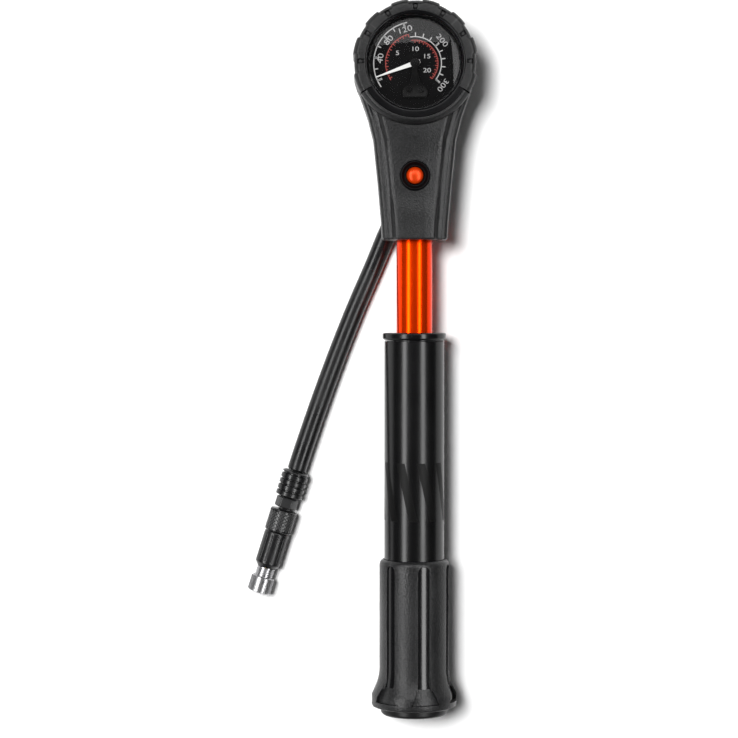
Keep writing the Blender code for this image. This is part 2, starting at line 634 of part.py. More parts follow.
def make_grip():
    """Hard glossy core, and the matte sleeve over it whose slots let it show."""
    inner = tube_radius + touch_gap
    core_outer = inner + core_wall
    flange_core = flange_radius - 1.6 * mm
    core_top = collar_top_y - grip_start - 1.3 * mm
    core_low = end_y + cap_shown + touch_gap
    steps = [flare_start + (flare_end - flare_start) * step / 4 for step in range(5)]
    core_side = [(flare(down, core_outer, flange_core), collar_top_y - down) for down in steps]
    turned("grip_core", [(inner, core_low), (flange_core, core_low), *reversed(core_side),
                         (core_outer, core_top), (inner, core_top)], gloss_black, pump_axis, 36)
    top = collar_top_y - grip_start
    low = collar_top_y - grip_bottom
    outer_side = [(flare(down, grip_radius, flange_radius), collar_top_y - down) for down in steps]
    inner_side = [(radius + touch_gap, height) for radius, height in core_side]
    sleeve = turned("grip_sleeve", [(inner, top), (inner, core_top + touch_gap),
                                    (core_outer + touch_gap, core_top + touch_gap), *inner_side,
                                    (flange_core + touch_gap, low), (flange_radius - 0.6 * mm, low),
                                    (flange_radius, low + 0.6 * mm), *reversed(outer_side),
                                    (grip_radius, top - 1.5 * mm), (inner + 0.3 * mm, top)],
                    grip_matte, pump_axis, 42)
    near, far = pocket_widths
    slot = [(slot_width / 2, collar_top_y - slot_start), (slot_width / 2, collar_top_y - pocket_start + 0.6 * mm),
            (near / 2, collar_top_y - pocket_start), (far / 2, collar_top_y - pocket_end)]
    outline = slot + [(-x, y) for x, y in reversed(slot)]
    for index in range(slot_count):
        turn = math.tau * (index + 0.25) / slot_count
        holder = empty("slot_axis_%d" % index, (0.0, 0.0, axis_z), (0.0, turn, 0.0))
        cutter = prism("slot_cut_%d" % index, outline, tube_radius + 0.1 * mm, flange_radius + 4 * mm,
                       grip_matte, holder)
        cut(sleeve, cutter)


def make_swivel():
    """Hollow bolt under the neck, the banjo that turns on it and the ferrule that holds the hose."""
    bolt_end = axis_z - socket_clearance
    seat = pivot_bore - touch_gap
    turned("swivel_post", [(0.0, hose_clearance), (bolt_head_radius, hose_clearance),
                           (bolt_head_radius, banjo_low - touch_gap), (bolt_radius, banjo_low - touch_gap),
                           (bolt_radius, neck_back + touch_gap), (seat, neck_back + touch_gap),
                           (seat, bolt_end), (0.0, bolt_end)], steel, pivot_axis, 24)
    ring("swivel_washer", bolt_radius + slide_gap, banjo_radius - 0.5 * mm, banjo_high + touch_gap,
         neck_back - touch_gap, rubber_black, pivot_axis, 24)
    banjo = rod("swivel_banjo", banjo_radius, banjo_low, banjo_high, steel, pivot_axis, 32)
    spigot = rod("banjo_spigot", 2.3 * mm, 2.0 * mm, ferrule_start - touch_gap, steel, hose_line, 16)
    post_hole = rod("banjo_bore_cut", bolt_radius + slide_gap, 0.0, neck_back, steel, pivot_axis, 24)
    join(banjo, spigot)
    cut(banjo, post_hole)
    turned("hose_ferrule", [(0.0, ferrule_start), (ferrule_radius - 0.5 * mm, ferrule_start),
                            (ferrule_radius, ferrule_start + 0.5 * mm),
                            (ferrule_radius, ferrule_start + ferrule_length),
                            (0.0, ferrule_start + ferrule_length)], moulded_black, hose_line, 24)


def heading(angle):
    turn = math.radians(angle)
    return Vector((-math.sin(turn), -math.cos(turn), 0.0))


def make_hose():
    """Rubber hose on its route from the ferrule to the sleeve."""
    start = Vector((0.0, pivot_y, hose_height)) + heading(hose_leave_angle) * (
        ferrule_start + ferrule_length + touch_gap)
    end = connector_place - heading(connector_angle) * touch_gap
    route = [start,
             start + heading(hose_leave_angle) * 10 * mm,
             Vector((-17.0 * mm, 39.8 * mm, 4.4 * mm)),
             Vector((-25.8 * mm, 19.4 * mm, 4.5 * mm)),
             Vector((-33.8 * mm, -1.0 * mm, 4.8 * mm)),
             Vector((-41.3 * mm, -21.6 * mm, 5.3 * mm)),
             end - heading(connector_angle) * 7 * mm,
             end]
    tube_along("hose", spline_points(route, hose_points), hose_radius, hose_black, None)


def make_connector():
    """Ribbed sleeve, hex stem, two-stage screw chuck and its nut; heights run away from the hose."""
    ribs = [(0.0, 0.0), (sleeve_radius - 1.2 * mm, 0.0)]
    pitch = (sleeve_length - 1.6 * mm) / sleeve_ribs
    for index in range(sleeve_ribs):
        start = 0.8 * mm + index * pitch
        ribs += [(sleeve_radius, start), (sleeve_radius, start + pitch * 0.6),
                 (sleeve_radius - 0.6 * mm, start + pitch * 0.7), (sleeve_radius - 0.6 * mm, start + pitch * 0.9)]
    ribs += [(sleeve_radius - 0.6 * mm, sleeve_length), (0.0, sleeve_length)]
    turned("hose_sleeve", ribs, hose_black, connector_axis, 16)
    hex_low = sleeve_length + touch_gap
    hex_high = hex_low + hex_length
    hexagon = [(hex_radius * math.cos(math.tau * side / 6), hex_radius * math.sin(math.tau * side / 6))
               for side in range(6)]
    stem = prism("connector_stem", hexagon, hex_low, hex_high, moulded_black, connector_axis)
    collar_low = hex_high + 1.0 * mm
    collar_high = collar_low + chuck_collar_length
    body_low = collar_high + touch_gap
    body_high = body_low + chuck_length
    bar = rod("stem_bar", stem_tube_radius, hex_high - 1 * mm, body_low + 6 * mm, moulded_black, connector_axis, 16)
    join(stem, bar)
    hole = stem_tube_radius + slide_gap
    turned("chuck_collar", [(hole, collar_low), (chuck_collar_radius - 0.5 * mm, collar_low),
                            (chuck_collar_radius, collar_low + 0.5 * mm),
                            (chuck_collar_radius, collar_high - 0.5 * mm),
                            (chuck_collar_radius - 0.5 * mm, collar_high), (hole, collar_high)],
           moulded_black, connector_axis, 24)
    pin_hole = pin_radius + slide_gap
    turned("chuck_body", [(hole, body_low), (chuck_radius, body_low), (chuck_radius, body_high - 1.2 * mm),
                          (chuck_radius - 1.2 * mm, body_high), (pin_hole, body_high),
                          (pin_hole, body_low + 7 * mm), (hole, body_low + 7 * mm)],
           moulded_black, connector_axis, 24)
    nut_low = body_high + touch_gap
    shoulder = nut_low + chuck_neck_length
    nut_high = shoulder + nut_length
    bore_start = shoulder + 0.4 * mm
    turned("chuck_nut", [(pin_hole, nut_low), (chuck_neck_radius, nut_low), (chuck_neck_radius, shoulder),
                         (nut_radius - 0.4 * mm, shoulder), (nut_radius, shoulder + 0.4 * mm),
                         (nut_radius, nut_high), (valve_thread_radius, nut_high),
                         (valve_thread_radius, bore_start), (pin_hole, bore_start)],
           chrome, connector_axis, 28)
    ring("chuck_gasket", pin_hole, valve_thread_radius - touch_gap, bore_start + touch_gap,
         bore_start + 1.3 * mm, rubber_black, connector_axis, 24)
    rod("depressor_pin", pin_radius, body_low + 8 * mm, bore_start + 1.3 * mm, brass, connector_axis, 12)


make_head()
make_bumper()
make_pointer(make_gauge())
make_bleed_valve()
make_barrel()
make_piston()
make_handle()
make_grip()
make_swivel()
make_hose()
make_connector()
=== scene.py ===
import json
import math

import bmesh
import bpy
from mathutils import Matrix, Vector


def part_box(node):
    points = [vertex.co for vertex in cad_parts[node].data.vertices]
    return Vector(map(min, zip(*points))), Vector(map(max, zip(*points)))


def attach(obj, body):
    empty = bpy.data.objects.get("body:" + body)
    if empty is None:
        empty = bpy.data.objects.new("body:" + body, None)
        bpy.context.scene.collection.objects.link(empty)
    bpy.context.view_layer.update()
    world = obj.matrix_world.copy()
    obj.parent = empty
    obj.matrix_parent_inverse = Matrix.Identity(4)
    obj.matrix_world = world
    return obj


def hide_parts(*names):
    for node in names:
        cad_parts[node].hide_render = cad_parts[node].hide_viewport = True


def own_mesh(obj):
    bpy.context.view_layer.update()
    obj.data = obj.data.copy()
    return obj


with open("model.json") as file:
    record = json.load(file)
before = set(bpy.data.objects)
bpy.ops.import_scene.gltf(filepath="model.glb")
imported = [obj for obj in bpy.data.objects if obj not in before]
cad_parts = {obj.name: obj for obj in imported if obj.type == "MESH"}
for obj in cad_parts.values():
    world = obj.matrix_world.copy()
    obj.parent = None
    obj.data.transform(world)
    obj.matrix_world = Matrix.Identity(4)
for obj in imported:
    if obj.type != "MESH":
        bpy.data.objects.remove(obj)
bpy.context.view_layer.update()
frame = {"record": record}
mm = 0.001

# places read from the frame
axisZ = (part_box("handle_tube")[0].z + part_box("handle_tube")[1].z) / 2
gaugeY = (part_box("gauge_lens")[0].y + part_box("gauge_lens")[1].y) / 2
pivotY = (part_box("bleed_button")[0].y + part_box("bleed_button")[1].y) / 2
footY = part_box("head_shell")[0].y
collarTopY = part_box("handle_collar")[1].y
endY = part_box("end_cap")[0].y
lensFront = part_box("gauge_lens")[1].z

pumpPlace = Matrix.Translation((0, 0, axisZ)) @ Matrix.Rotation(-math.pi / 2, 4, 'X')
gaugePlace = Matrix.Translation((0, gaugeY, 0))
pivotPlace = Matrix.Translation((0, pivotY, 0))

# ---- camera, lights, floor
camera = {"x": -19.0 * mm, "y": 20.0 * mm, "aimY": -3.5 * mm, "distance": 880 * mm, "lens": 102.4}
studio = {"aim": (0, 0, 0.02), "gaugeAim": (0, 0.12, 0.03), "world": 0.05, "lensShare": 0.15,
          "floorReach": 3.0, "floorLow": -0.2 * mm, "paper": (0.93, 0.93, 0.93, 1)}
# each panel: place, width, depth, power
panels = {"softKey": ((-0.55, 0.34, 2.02), 0.60, 0.60, 62.0),
          "leftStrip": ((-0.62, 0.02, 0.78), 1.3, 0.24, 10.5),
          "rightStrip": ((0.53, 0.02, 0.85), 1.3, 0.24, 9.5),
          "topPanel": ((-0.02, 0.585, 0.90), 0.85, 0.31, 4.6)}


def makeCamera():
    data = bpy.data.cameras.new("camera")
    data.lens = camera["lens"]
    data.clip_start = 0.01
    eye = bpy.data.objects.new("camera", data)
    bpy.context.scene.collection.objects.link(eye)
    eye.location = (camera["x"], camera["y"], axisZ + camera["distance"])
    eye.rotation_euler = (math.atan2(camera["aimY"] - camera["y"], camera["distance"]), 0, 0)
    bpy.context.scene.camera = eye


def makePanels():
    # the soft key alone lights surfaces and casts shadows; the others only give highlights
    for name, (place, width, depth, power) in panels.items():
        data = bpy.data.lights.new(name, 'AREA')
        data.shape = 'RECTANGLE'
        data.size = width
        data.size_y = depth
        data.energy = power
        panel = bpy.data.objects.new(name, data)
        bpy.context.scene.collection.objects.link(panel)
        panel.location = place
        aim = Vector(studio["gaugeAim"] if name == "topPanel" else studio["aim"])
        panel.rotation_euler = (aim - Vector(place)).to_track_quat('-Z', 'Y').to_euler()
        panel.visible_diffuse = name == "softKey"
        panel.visible_glossy = name != "softKey"


def makeWorld():
    world = bpy.data.worlds.new("world")
    world.use_nodes = True
    background = world.node_tree.nodes["Background"]
    background.inputs["Color"].default_value = (1, 1, 1, 1)
    background.inputs["Strength"].default_value = studio["world"]
    bpy.context.scene.world = world
    bpy.context.scene.view_settings.view_transform = 'Standard'


def makeFloor():
    shape = bmesh.new()
    reach = studio["floorReach"]
    corners = ((-reach, -reach), (reach, -reach), (reach, reach), (-reach, reach))
    shape.faces.new([shape.verts.new((x, y, studio["floorLow"])) for x, y in corners])
    mesh = bpy.data.meshes.new("floor")
    shape.to_mesh(mesh)
    shape.free()
    floor = bpy.data.objects.new("floor", mesh)
    bpy.context.scene.collection.objects.link(floor)
    material = bpy.data.materials.new("floorPaper")
    material.use_nodes = True
    shader = material.node_tree.nodes["Principled BSDF"]
    shader.inputs["Base Color"].default_value = studio["paper"]
    shader.inputs["Roughness"].default_value = 0.9
    mesh.materials.append(material)


makeCamera()
makePanels()
makeWorld()
makeFloor()
print("camera and studio made")


# ---- node trees: helpers shared by the shader groups and the geometry tree
def openTree(name, kind, inputs, outputs):
    # inputs are (name, kind, value), outputs are (name, kind); gives the tree and its two ends
    tree = bpy.data.node_groups.new(name, kind)
    for label, socketKind, value in inputs:
        socket = tree.interface.new_socket(name=label, in_out='INPUT', socket_type="NodeSocket" + socketKind)
        if value is not None:
            socket.default_value = value
    for label, socketKind in outputs:
        tree.interface.new_socket(name=label, in_out='OUTPUT', socket_type="NodeSocket" + socketKind)
    return tree, tree.nodes.new("NodeGroupInput").outputs, tree.nodes.new("NodeGroupOutput").inputs


def putNode(tree, kind, inputs, **settings):
    # an input is a plain value or the output socket that feeds it
    node = tree.nodes.new(kind)
    for name, value in settings.items():
        setattr(node, name, value)
    for key, value in inputs.items():
        if isinstance(value, bpy.types.NodeSocket):
            tree.links.new(value, node.inputs[key])
        else:
            node.inputs[key].default_value = value
    return node.outputs


def maths(tree, operation, *values):
    return putNode(tree, "ShaderNodeMath", dict(enumerate(values)), operation=operation)[0]


# ---- shader groups: they give colours, masks and heights, the shaders stay in each material
def buildGrain():
    # moulded or cast grain: a bump height, a soft roughness drift and a little colour drift
    tree, put, out = openTree("grain", 'ShaderNodeTree', (
        ("Vector", "Vector", None), ("Colour", "Color", None), ("Grain Scale", "Float", 2500.0),
        ("Drift Scale", "Float", 60.0), ("Drift", "Float", 0.25), ("Roughness", "Float", 0.5),
        ("Speckle", "Float", 0.0)), (("Colour", "Color"), ("Roughness", "Float"), ("Height", "Float")))
    fine = putNode(tree, "ShaderNodeTexNoise",
                   {"Vector": put["Vector"], "Scale": put["Grain Scale"], "Detail": 4.0})["Fac"]
    cells = putNode(tree, "ShaderNodeTexVoronoi", {"Vector": put["Vector"], "Scale": put["Grain Scale"]},
                    feature='SMOOTH_F1')["Distance"]
    soft = putNode(tree, "ShaderNodeTexNoise",
                   {"Vector": put["Vector"], "Scale": put["Drift Scale"], "Detail": 3.0})["Fac"]
    drift = putNode(tree, "ShaderNodeMapRange", {"Value": soft, "From Min": 0.3, "From Max": 0.7,
                                                 "To Min": -0.5, "To Max": 0.5})["Result"]
    amount = maths(tree, 'MULTIPLY', drift, put["Drift"])
    speckle = putNode(tree, "ShaderNodeMapRange", {"Value": cells, "From Min": 0.15, "From Max": 0.75,
                                                   "To Min": 0.6, "To Max": -0.4})["Result"]
    flecks = maths(tree, 'MULTIPLY_ADD', speckle, put["Speckle"], 1.0)
    tint = putNode(tree, "ShaderNodeHueSaturation",
                   {"Color": put["Colour"], "Value": maths(tree, 'ADD', amount, flecks)})["Color"]
    tree.links.new(tint, out["Colour"])
    tree.links.new(maths(tree, 'MULTIPLY_ADD', amount, 0.5, put["Roughness"]), out["Roughness"])
    tree.links.new(maths(tree, 'MULTIPLY_ADD', cells, 0.6, fine), out["Height"])
    return tree


def buildWearAndHighlight():
    # rubbed edges and painted edge highlights: lightens a colour where the surface is sharply convex
    tree, put, out = openTree("edgeWear", 'ShaderNodeTree', (
        ("Colour", "Color", None), ("Worn Colour", "Color", (0.3, 0.3, 0.3, 1)), ("Amount", "Float", 0.3)),
        (("Colour", "Color"),))
    bend = putNode(tree, "ShaderNodeNewGeometry", {})["Pointiness"]
    edge = putNode(tree, "ShaderNodeMapRange", {"Value": bend, "From Min": 0.53, "From Max": 0.62})["Result"]
    mixed = putNode(tree, "ShaderNodeMix", {"Factor": maths(tree, 'MULTIPLY', edge, put["Amount"]),
                                            "A": put["Colour"], "B": put["Worn Colour"]},
                    data_type='RGBA')["Result"]
    tree.links.new(mixed, out["Colour"])
    return tree


def buildTurning():
    # fine lines round an axis, as a lathe or a drawn tube leaves them
    tree, put, out = openTree("turningLines", 'ShaderNodeTree', (
        ("Vector", "Vector", None), ("Along", "Float", 4000.0), ("Round", "Float", 40.0)),
        (("Height", "Float"),))
    stretch = putNode(tree, "ShaderNodeCombineXYZ", {"X": put["Round"], "Y": put["Along"], "Z": put["Round"]})
    scaled = putNode(tree, "ShaderNodeVectorMath", {0: put["Vector"], 1: stretch["Vector"]},
                     operation='MULTIPLY')["Vector"]
    lines = putNode(tree, "ShaderNodeTexNoise", {"Vector": scaled, "Scale": 1.0, "Detail": 2.0})["Fac"]
    tree.links.new(lines, out["Height"])
    return tree


grainGroup = buildGrain()
wearAndHighlightGroup = buildWearAndHighlight()
turningGroup = buildTurning()


def makeFinish(name, colour, roughness, metallic=0.0, grain=2500.0, depth=0.04, drift=0.25, wearAndHighlight=0.0,
               wornAndHighlight=(0.25, 0.25, 0.25), turning=0.0, turn=0.0, specular=0.5, speckle=0.0):
    # depth and turning are bump heights in millimetres, turn is the angle of a slanting piece's axis
    material = bpy.data.materials.new(name)
    material.use_nodes = True
    tree = material.node_tree
    shader = tree.nodes["Principled BSDF"].inputs
    shader["Metallic"].default_value = metallic
    shader["Specular IOR Level"].default_value = specular
    place = putNode(tree, "ShaderNodeTexCoord", {})["Object"]
    turned = putNode(tree, "ShaderNodeMapping", {"Vector": place, "Rotation": (0, 0, turn)})["Vector"]
    surface = putNode(tree, "ShaderNodeGroup", {
        "Vector": turned, "Colour": (*colour, 1), "Grain Scale": grain, "Drift": drift,
        "Roughness": roughness, "Speckle": speckle}, node_tree=grainGroup)
    # convex edges get a lighter colour: partly rubbed wear, partly painted edge highlight
    edges = putNode(tree, "ShaderNodeGroup", {
        "Colour": surface["Colour"], "Worn Colour": (*wornAndHighlight, 1), "Amount": wearAndHighlight}, node_tree=wearAndHighlightGroup)
    tree.links.new(edges["Colour"], shader["Base Color"])
    tree.links.new(surface["Roughness"], shader["Roughness"])
    normal = putNode(tree, "ShaderNodeBump", {"Height": surface["Height"], "Distance": depth * mm,
                                              "Strength": 1.0})["Normal"]
    if turning > 0:
        lines = putNode(tree, "ShaderNodeGroup", {"Vector": turned}, node_tree=turningGroup)["Height"]
        normal = putNode(tree, "ShaderNodeBump", {"Height": lines, "Normal": normal,
                                                  "Distance": turning * mm})["Normal"]
    tree.links.new(normal, shader["Normal"])
    return material


def makeLensFinish(name):
    material = bpy.data.materials.new(name)
    material.use_nodes = True
    tree = material.node_tree
    shader = tree.nodes["Principled BSDF"].inputs
    shader["Transmission Weight"].default_value = 1.0
    shader["IOR"].default_value = 1.45
    shader["Metallic"].default_value = 0.0
    shader["Base Color"].default_value = (0.98, 0.98, 0.98, 1)
    haze = putNode(tree, "ShaderNodeGroup", {
        "Vector": putNode(tree, "ShaderNodeTexCoord", {})["Object"], "Colour": (1, 1, 1, 1),
        "Grain Scale": 300, "Drift": 0.03, "Roughness": 0.03}, node_tree=grainGroup)["Roughness"]
    tree.links.new(haze, shader["Roughness"])
    return material


connectorTurn = math.radians(17.4)
looks = {
    "headNylon": dict(colour=(0.0095, 0.0096, 0.010), roughness=0.36, grain=1500, depth=0.11, wearAndHighlight=0.3,
                      wornAndHighlight=(0.06, 0.06, 0.062), specular=0.28, speckle=0.9),
    "bumperRubber": dict(colour=(0.006, 0.006, 0.0063), roughness=0.42, grain=1700, depth=0.09, wearAndHighlight=0.4,
                         wornAndHighlight=(0.06, 0.06, 0.06), specular=0.3, speckle=0.9),
    "ringGloss": dict(colour=(0.004, 0.004, 0.0045), roughness=0.22, depth=0.004, specular=0.3),
    "tubeBlack": dict(colour=(0.0025, 0.0025, 0.0028), roughness=0.24, depth=0.002, drift=0.1, turning=0.001,
                      specular=0.32),
    "barBlack": dict(colour=(0.002, 0.002, 0.002), roughness=0.42, depth=0.003, drift=0.1, specular=0.12),
    "gripMatte": dict(colour=(0.009, 0.0091, 0.0095), roughness=0.35, grain=1500, depth=0.13, wearAndHighlight=0.3,
                      wornAndHighlight=(0.07, 0.07, 0.072), specular=0.32, speckle=1.2),
    "coreGloss": dict(colour=(0.004, 0.004, 0.0045), roughness=0.14, depth=0.002, drift=0.1, specular=0.35),
    "orangeTube": dict(colour=(0.90, 0.044, 0.0007), roughness=0.20, metallic=0.75, depth=0.002, drift=0.06,
                       turning=0.002, specular=0.0),
    "orangeDome": dict(colour=(0.60, 0.040, 0.0006), roughness=0.30, metallic=0.35, depth=0.004, drift=0.3,
                       specular=0.25),
    # button ring: its own black, made darker and duller than the other blacks as painted shade of its recess
    "recessBlack": dict(colour=(0.0018, 0.0018, 0.002), roughness=0.5, depth=0.004, drift=0.1, specular=0.1),
    "chromed": dict(colour=(0.40, 0.40, 0.41), roughness=0.34, metallic=1.0, depth=0.004, drift=0.2, wearAndHighlight=0.3,
                    wornAndHighlight=(0.9, 0.9, 0.9), turn=-connectorTurn, turning=0.003),
    "machinedSteel": dict(colour=(0.56, 0.57, 0.58), roughness=0.30, metallic=1.0,
                          depth=0.004, turning=0.004),
    "machinedBrass": dict(colour=(0.71, 0.49, 0.20), roughness=0.30, metallic=1.0,
                          depth=0.004, turning=0.004),
    "sealRubber": dict(colour=(0.012, 0.012, 0.013), roughness=0.7, depth=0.02),
    "dialBlack": dict(colour=(0.0012, 0.0012, 0.0014), roughness=0.6, depth=0.004, specular=0.05),
    "printWhite": dict(colour=(0.34, 0.34, 0.34), roughness=0.5, depth=0.003, drift=0.1),
    "printRed": dict(colour=(0.28, 0.026, 0.018), roughness=0.5, depth=0.003, drift=0.1),
    "handWhite": dict(colour=(0.60, 0.60, 0.59), roughness=0.4, depth=0.003, drift=0.05),
    # the bridge's lighter edges are painted edge highlights on its black
    "bridgeBlack": dict(colour=(0.0012, 0.0012, 0.0013), roughness=0.32, depth=0.005, wearAndHighlight=0.5,
                        wornAndHighlight=(0.04, 0.04, 0.04), specular=0.12),
    "capBlack": dict(colour=(0.004, 0.004, 0.0042), roughness=0.42, depth=0.01, specular=0.25),
    "hoseRubber": dict(colour=(0.007, 0.007, 0.0075), roughness=0.30, grain=1500, depth=0.015, drift=0.35,
                       turn=-connectorTurn, turning=0.008, specular=0.35),
    "connectorBlack": dict(colour=(0.006, 0.006, 0.0065), roughness=0.27, depth=0.01, wearAndHighlight=0.4,
                           wornAndHighlight=(0.10, 0.10, 0.10), specular=0.4),
}
finishes = {name: makeFinish(name, **look) for name, look in looks.items()}
finishes["lensClear"] = makeLensFinish("lensClear")
print("finishes made")

# ---- mesh helpers
bodyOf = {node: body for body, members in frame["record"]["behaviour"]["bodies"].items() for node in members}
slotOf = {part["node"]: part["material_slot"] for part in frame["record"]["subparts"]}


def addPiece(name, shape, finish, node, place=None, sharp=32, replace=True):
    if place is not None:
        shape.transform(place)
    bmesh.ops.recalc_face_normals(shape, faces=shape.faces)
    mesh = bpy.data.meshes.new(name)
    shape.to_mesh(mesh)
    shape.free()
    return adoptMesh(name, mesh, finish, node, sharp, replace)


def adoptMesh(name, mesh, finish, node, sharp=32, replace=True):
    mesh.shade_smooth()
    mesh.set_sharp_from_angle(angle=math.radians(sharp))
    if finish is not None:
        mesh.materials.clear()
        mesh.materials.append(finishes[finish])
    piece = bpy.data.objects.new(name, mesh)
    bpy.context.scene.collection.objects.link(piece)
    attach(piece, bodyOf[node])
    if replace:
        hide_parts(node)
    return piece


def soften(points, radius, steps=3, closed=True):
    # rounds the corners of an outline; one radius for all of them or a list with each one's own
    result = []
    count = len(points)
    for index, point in enumerate(points):
        amount = radius[index] if isinstance(radius, (list, tuple)) else radius
        if amount <= 0 or (not closed and index in (0, count - 1)):
            result.append(tuple(point))
            continue
        here = Vector(point)
        before, after = Vector(points[index - 1]) - here, Vector(points[(index + 1) % count]) - here
        reach = min(amount, before.length * 0.45, after.length * 0.45)
        start, end = here + before.normalized() * reach, here + after.normalized() * reach
        for step in range(steps + 1):
            t = step / steps
            result.append(tuple(start * (1 - t) ** 2 + here * 2 * t * (1 - t) + end * t * t))
    return result


def lathe(outline, sides=96):
    # turns a (radius, height) outline round Z; one that starts off the axis is closed by its last edge
    shape = bmesh.new()
    points = [shape.verts.new((radius, 0, height)) for radius, height in outline]
    for first, second in zip(points, points[1:]):
        shape.edges.new((first, second))
    if outline[0][0] > 1e-6:
        shape.edges.new((points[-1], points[0]))
    bmesh.ops.spin(shape, geom=shape.verts[:] + shape.edges[:], cent=(0, 0, 0), axis=(0, 0, 1),
                   dvec=(0, 0, 0), angle=math.tau, steps=sides, use_merge=True)
    bmesh.ops.remove_doubles(shape, verts=shape.verts, dist=1e-6)
    return shape


def turnPiece(name, outline, finish, node, place, radius, sides=96):
    return addPiece(name, lathe(soften(outline, radius), sides), finish, node, place)


def joinRings(shape, rings, closedLoop=False):
    # walls from ring to ring, then a face on each end, or a wall back to the first ring
    count = len(rings[0])
    pairs = list(zip(rings, rings[1:]))
    if closedLoop:
        pairs.append((rings[-1], rings[0]))
    for first, second in pairs:
        for index in range(count):
            after = (index + 1) % count
            shape.faces.new((first[index], first[after], second[after], second[index]))
    if not closedLoop:
        shape.faces.new(rings[0])
        shape.faces.new(rings[-1])


def smoothStep(value, low, high):
    share = min(max((value - low) / (high - low), 0), 1)
    return share * share * (3 - 2 * share)


def onCircle(radius, degrees):
    # degrees run clockwise from the top
    angle = math.radians(degrees)
    return (radius * math.sin(angle), radius * math.cos(angle))


def circle(radius, count):
    return [(radius * math.cos(math.tau * k / count), radius * math.sin(math.tau * k / count))
            for k in range(count)]


def booleanMesh(name, shape, cutters, operation='DIFFERENCE'):
    holders = []
    for index, item in enumerate([shape, *cutters]):
        bmesh.ops.recalc_face_normals(item, faces=item.faces)
        mesh = bpy.data.meshes.new("%sWork%d" % (name, index))
        item.to_mesh(mesh)
        item.free()
        holder = bpy.data.objects.new(mesh.name, mesh)
        bpy.context.scene.collection.objects.link(holder)
        holders.append(holder)
    for cutter in holders[1:]:
        modifier = holders[0].modifiers.new(cutter.name, 'BOOLEAN')
        modifier.operation = operation
        modifier.object = cutter
    graph = bpy.context.evaluated_depsgraph_get()
    result = bpy.data.meshes.new_from_object(holders[0].evaluated_get(graph))
    for holder in holders:
        bpy.data.objects.remove(holder)
    return result


# ---- hose: the route, then the hose itself
hoseRoute = {"leave": 26.0, "arrive": 17.4, "radius": 4.0 * mm, "clearOfPivot": 16.0 * mm, "gap": 0.3 * mm,
             "height": 4.4 * mm, "straightOut": 10 * mm, "straightIn": 7 * mm, "steps": 12, "sides": 32,
             "chamfer": 0.5 * mm, "endShare": 0.88}
routePoints = ((-17.0, 39.8, 4.4), (-25.8, 19.4, 4.5), (-33.8, -1.0, 4.8), (-41.3, -21.6, 5.3))
connectorStart = Vector((-49.9, -47.3, 5.8)) * mm


def heading(degrees):
    angle = math.radians(degrees)
    return Vector((-math.sin(angle), -math.cos(angle), 0))


def hoseLine():
    away, along = heading(hoseRoute["leave"]), heading(hoseRoute["arrive"])
    start = Vector((0, pivotY, hoseRoute["height"])) + away * hoseRoute["clearOfPivot"]
    end = connectorStart - along * hoseRoute["gap"]
    middle = [Vector(point) * mm for point in routePoints]
    return [start, start + away * hoseRoute["straightOut"], *middle,
            end - along * hoseRoute["straightIn"], end]


def splinePoints(points, steps):
    # Catmull-Rom through every point, mirrored past both ends
    padded = [points[0] * 2 - points[1], *points, points[-1] * 2 - points[-2]]
    line = []
    for before, start, end, after in zip(padded, padded[1:], padded[2:], padded[3:]):
        for step in range(steps):
            t = step / steps
            line.append((start * 2 + (end - before) * t + (before * 2 - start * 5 + end * 4 - after) * t * t
                         + (start * 3 - before - end * 3 + after) * t ** 3) / 2)
    return line + [points[-1]]


def sweep(shape, line, ringAt):
    # ringAt gives the section's points at each step of the line
    rings = []
    for index, point in enumerate(line):
        ahead = (line[min(index + 1, len(line) - 1)] - line[max(index - 1, 0)]).normalized()
        side = ahead.cross(Vector((0, 0, 1))).normalized()
        up = side.cross(ahead)
        rings.append([shape.verts.new(point + side * a + up * b) for a, b in ringAt(index)])
    joinRings(shape, rings)


def makeHose():
    line = splinePoints(hoseLine(), hoseRoute["steps"])
    # a short chamfer at each end
    first = line[0] + (line[1] - line[0]).normalized() * hoseRoute["chamfer"]
    last = line[-1] + (line[-2] - line[-1]).normalized() * hoseRoute["chamfer"]
    line = [line[0], first, *line[1:-1], last, line[-1]]

    def ringAt(index):
        share = hoseRoute["endShare"] if index in (0, len(line) - 1) else 1.0
        return circle(hoseRoute["radius"] * share, hoseRoute["sides"])

    shape = bmesh.new()
    sweep(shape, line, ringAt)
    length = sum((b - a).length for a, b in zip(line, line[1:]))
    hose = addPiece("hoseTube", shape, "hoseRubber", "hose", sharp=50)
    return hose, line, length


hose, hosePath, hoseLength = makeHose()
print("hose made, %.1f mm long" % (hoseLength / mm))

# ---- head: one moulding from the foot to the gauge cup
headShape = {"axisIn": 8.8 * mm, "depth": 22.0 * mm, "top": 68.0, "footEdge": 0.8, "steps": 60,
             "ridge": 2.0 * mm, "valley": 2.5 * mm, "dish": 0.8 * mm, "crown": 1.3 * mm, "corner": 0.7 * mm,
             "cupHeight": 30.2 * mm, "cupInner": 21.0 * mm, "cupOuter": 22.6 * mm, "cupFloor": 2.0 * mm,
             "shoulder": 25.8 * mm, "shoulderInner": 17.0 * mm, "shoulderLow": 3.0 * mm,
             "shoulderHigh": 34.0 * mm,
             "ringLedge": 29.0 * mm, "ringBore": 22.95 * mm, "seam": 120.6, "seamSteps": 48,
             "bore": 7.6 * mm, "boreTop": 61.85 * mm, "well": 6.35 * mm, "wellFloor": 18.4 * mm}
# the neck's half width at heights above its foot
neckWidths = [(0.0, 13.6), (7.7, 14.0), (24.5, 15.5), (41.2, 17.2), (50.5, 19.5), (56.5, 21.6), (62.0, 23.6)]
neckBack = axisZ - headShape["axisIn"]
neckFront = neckBack + headShape["depth"]


def neckHalf(height):
    for (low, first), (high, second) in zip(neckWidths, neckWidths[1:]):
        if height <= high:
            return (first + (second - first) * (height - low) / (high - low)) * mm
    return neckWidths[-1][1] * mm


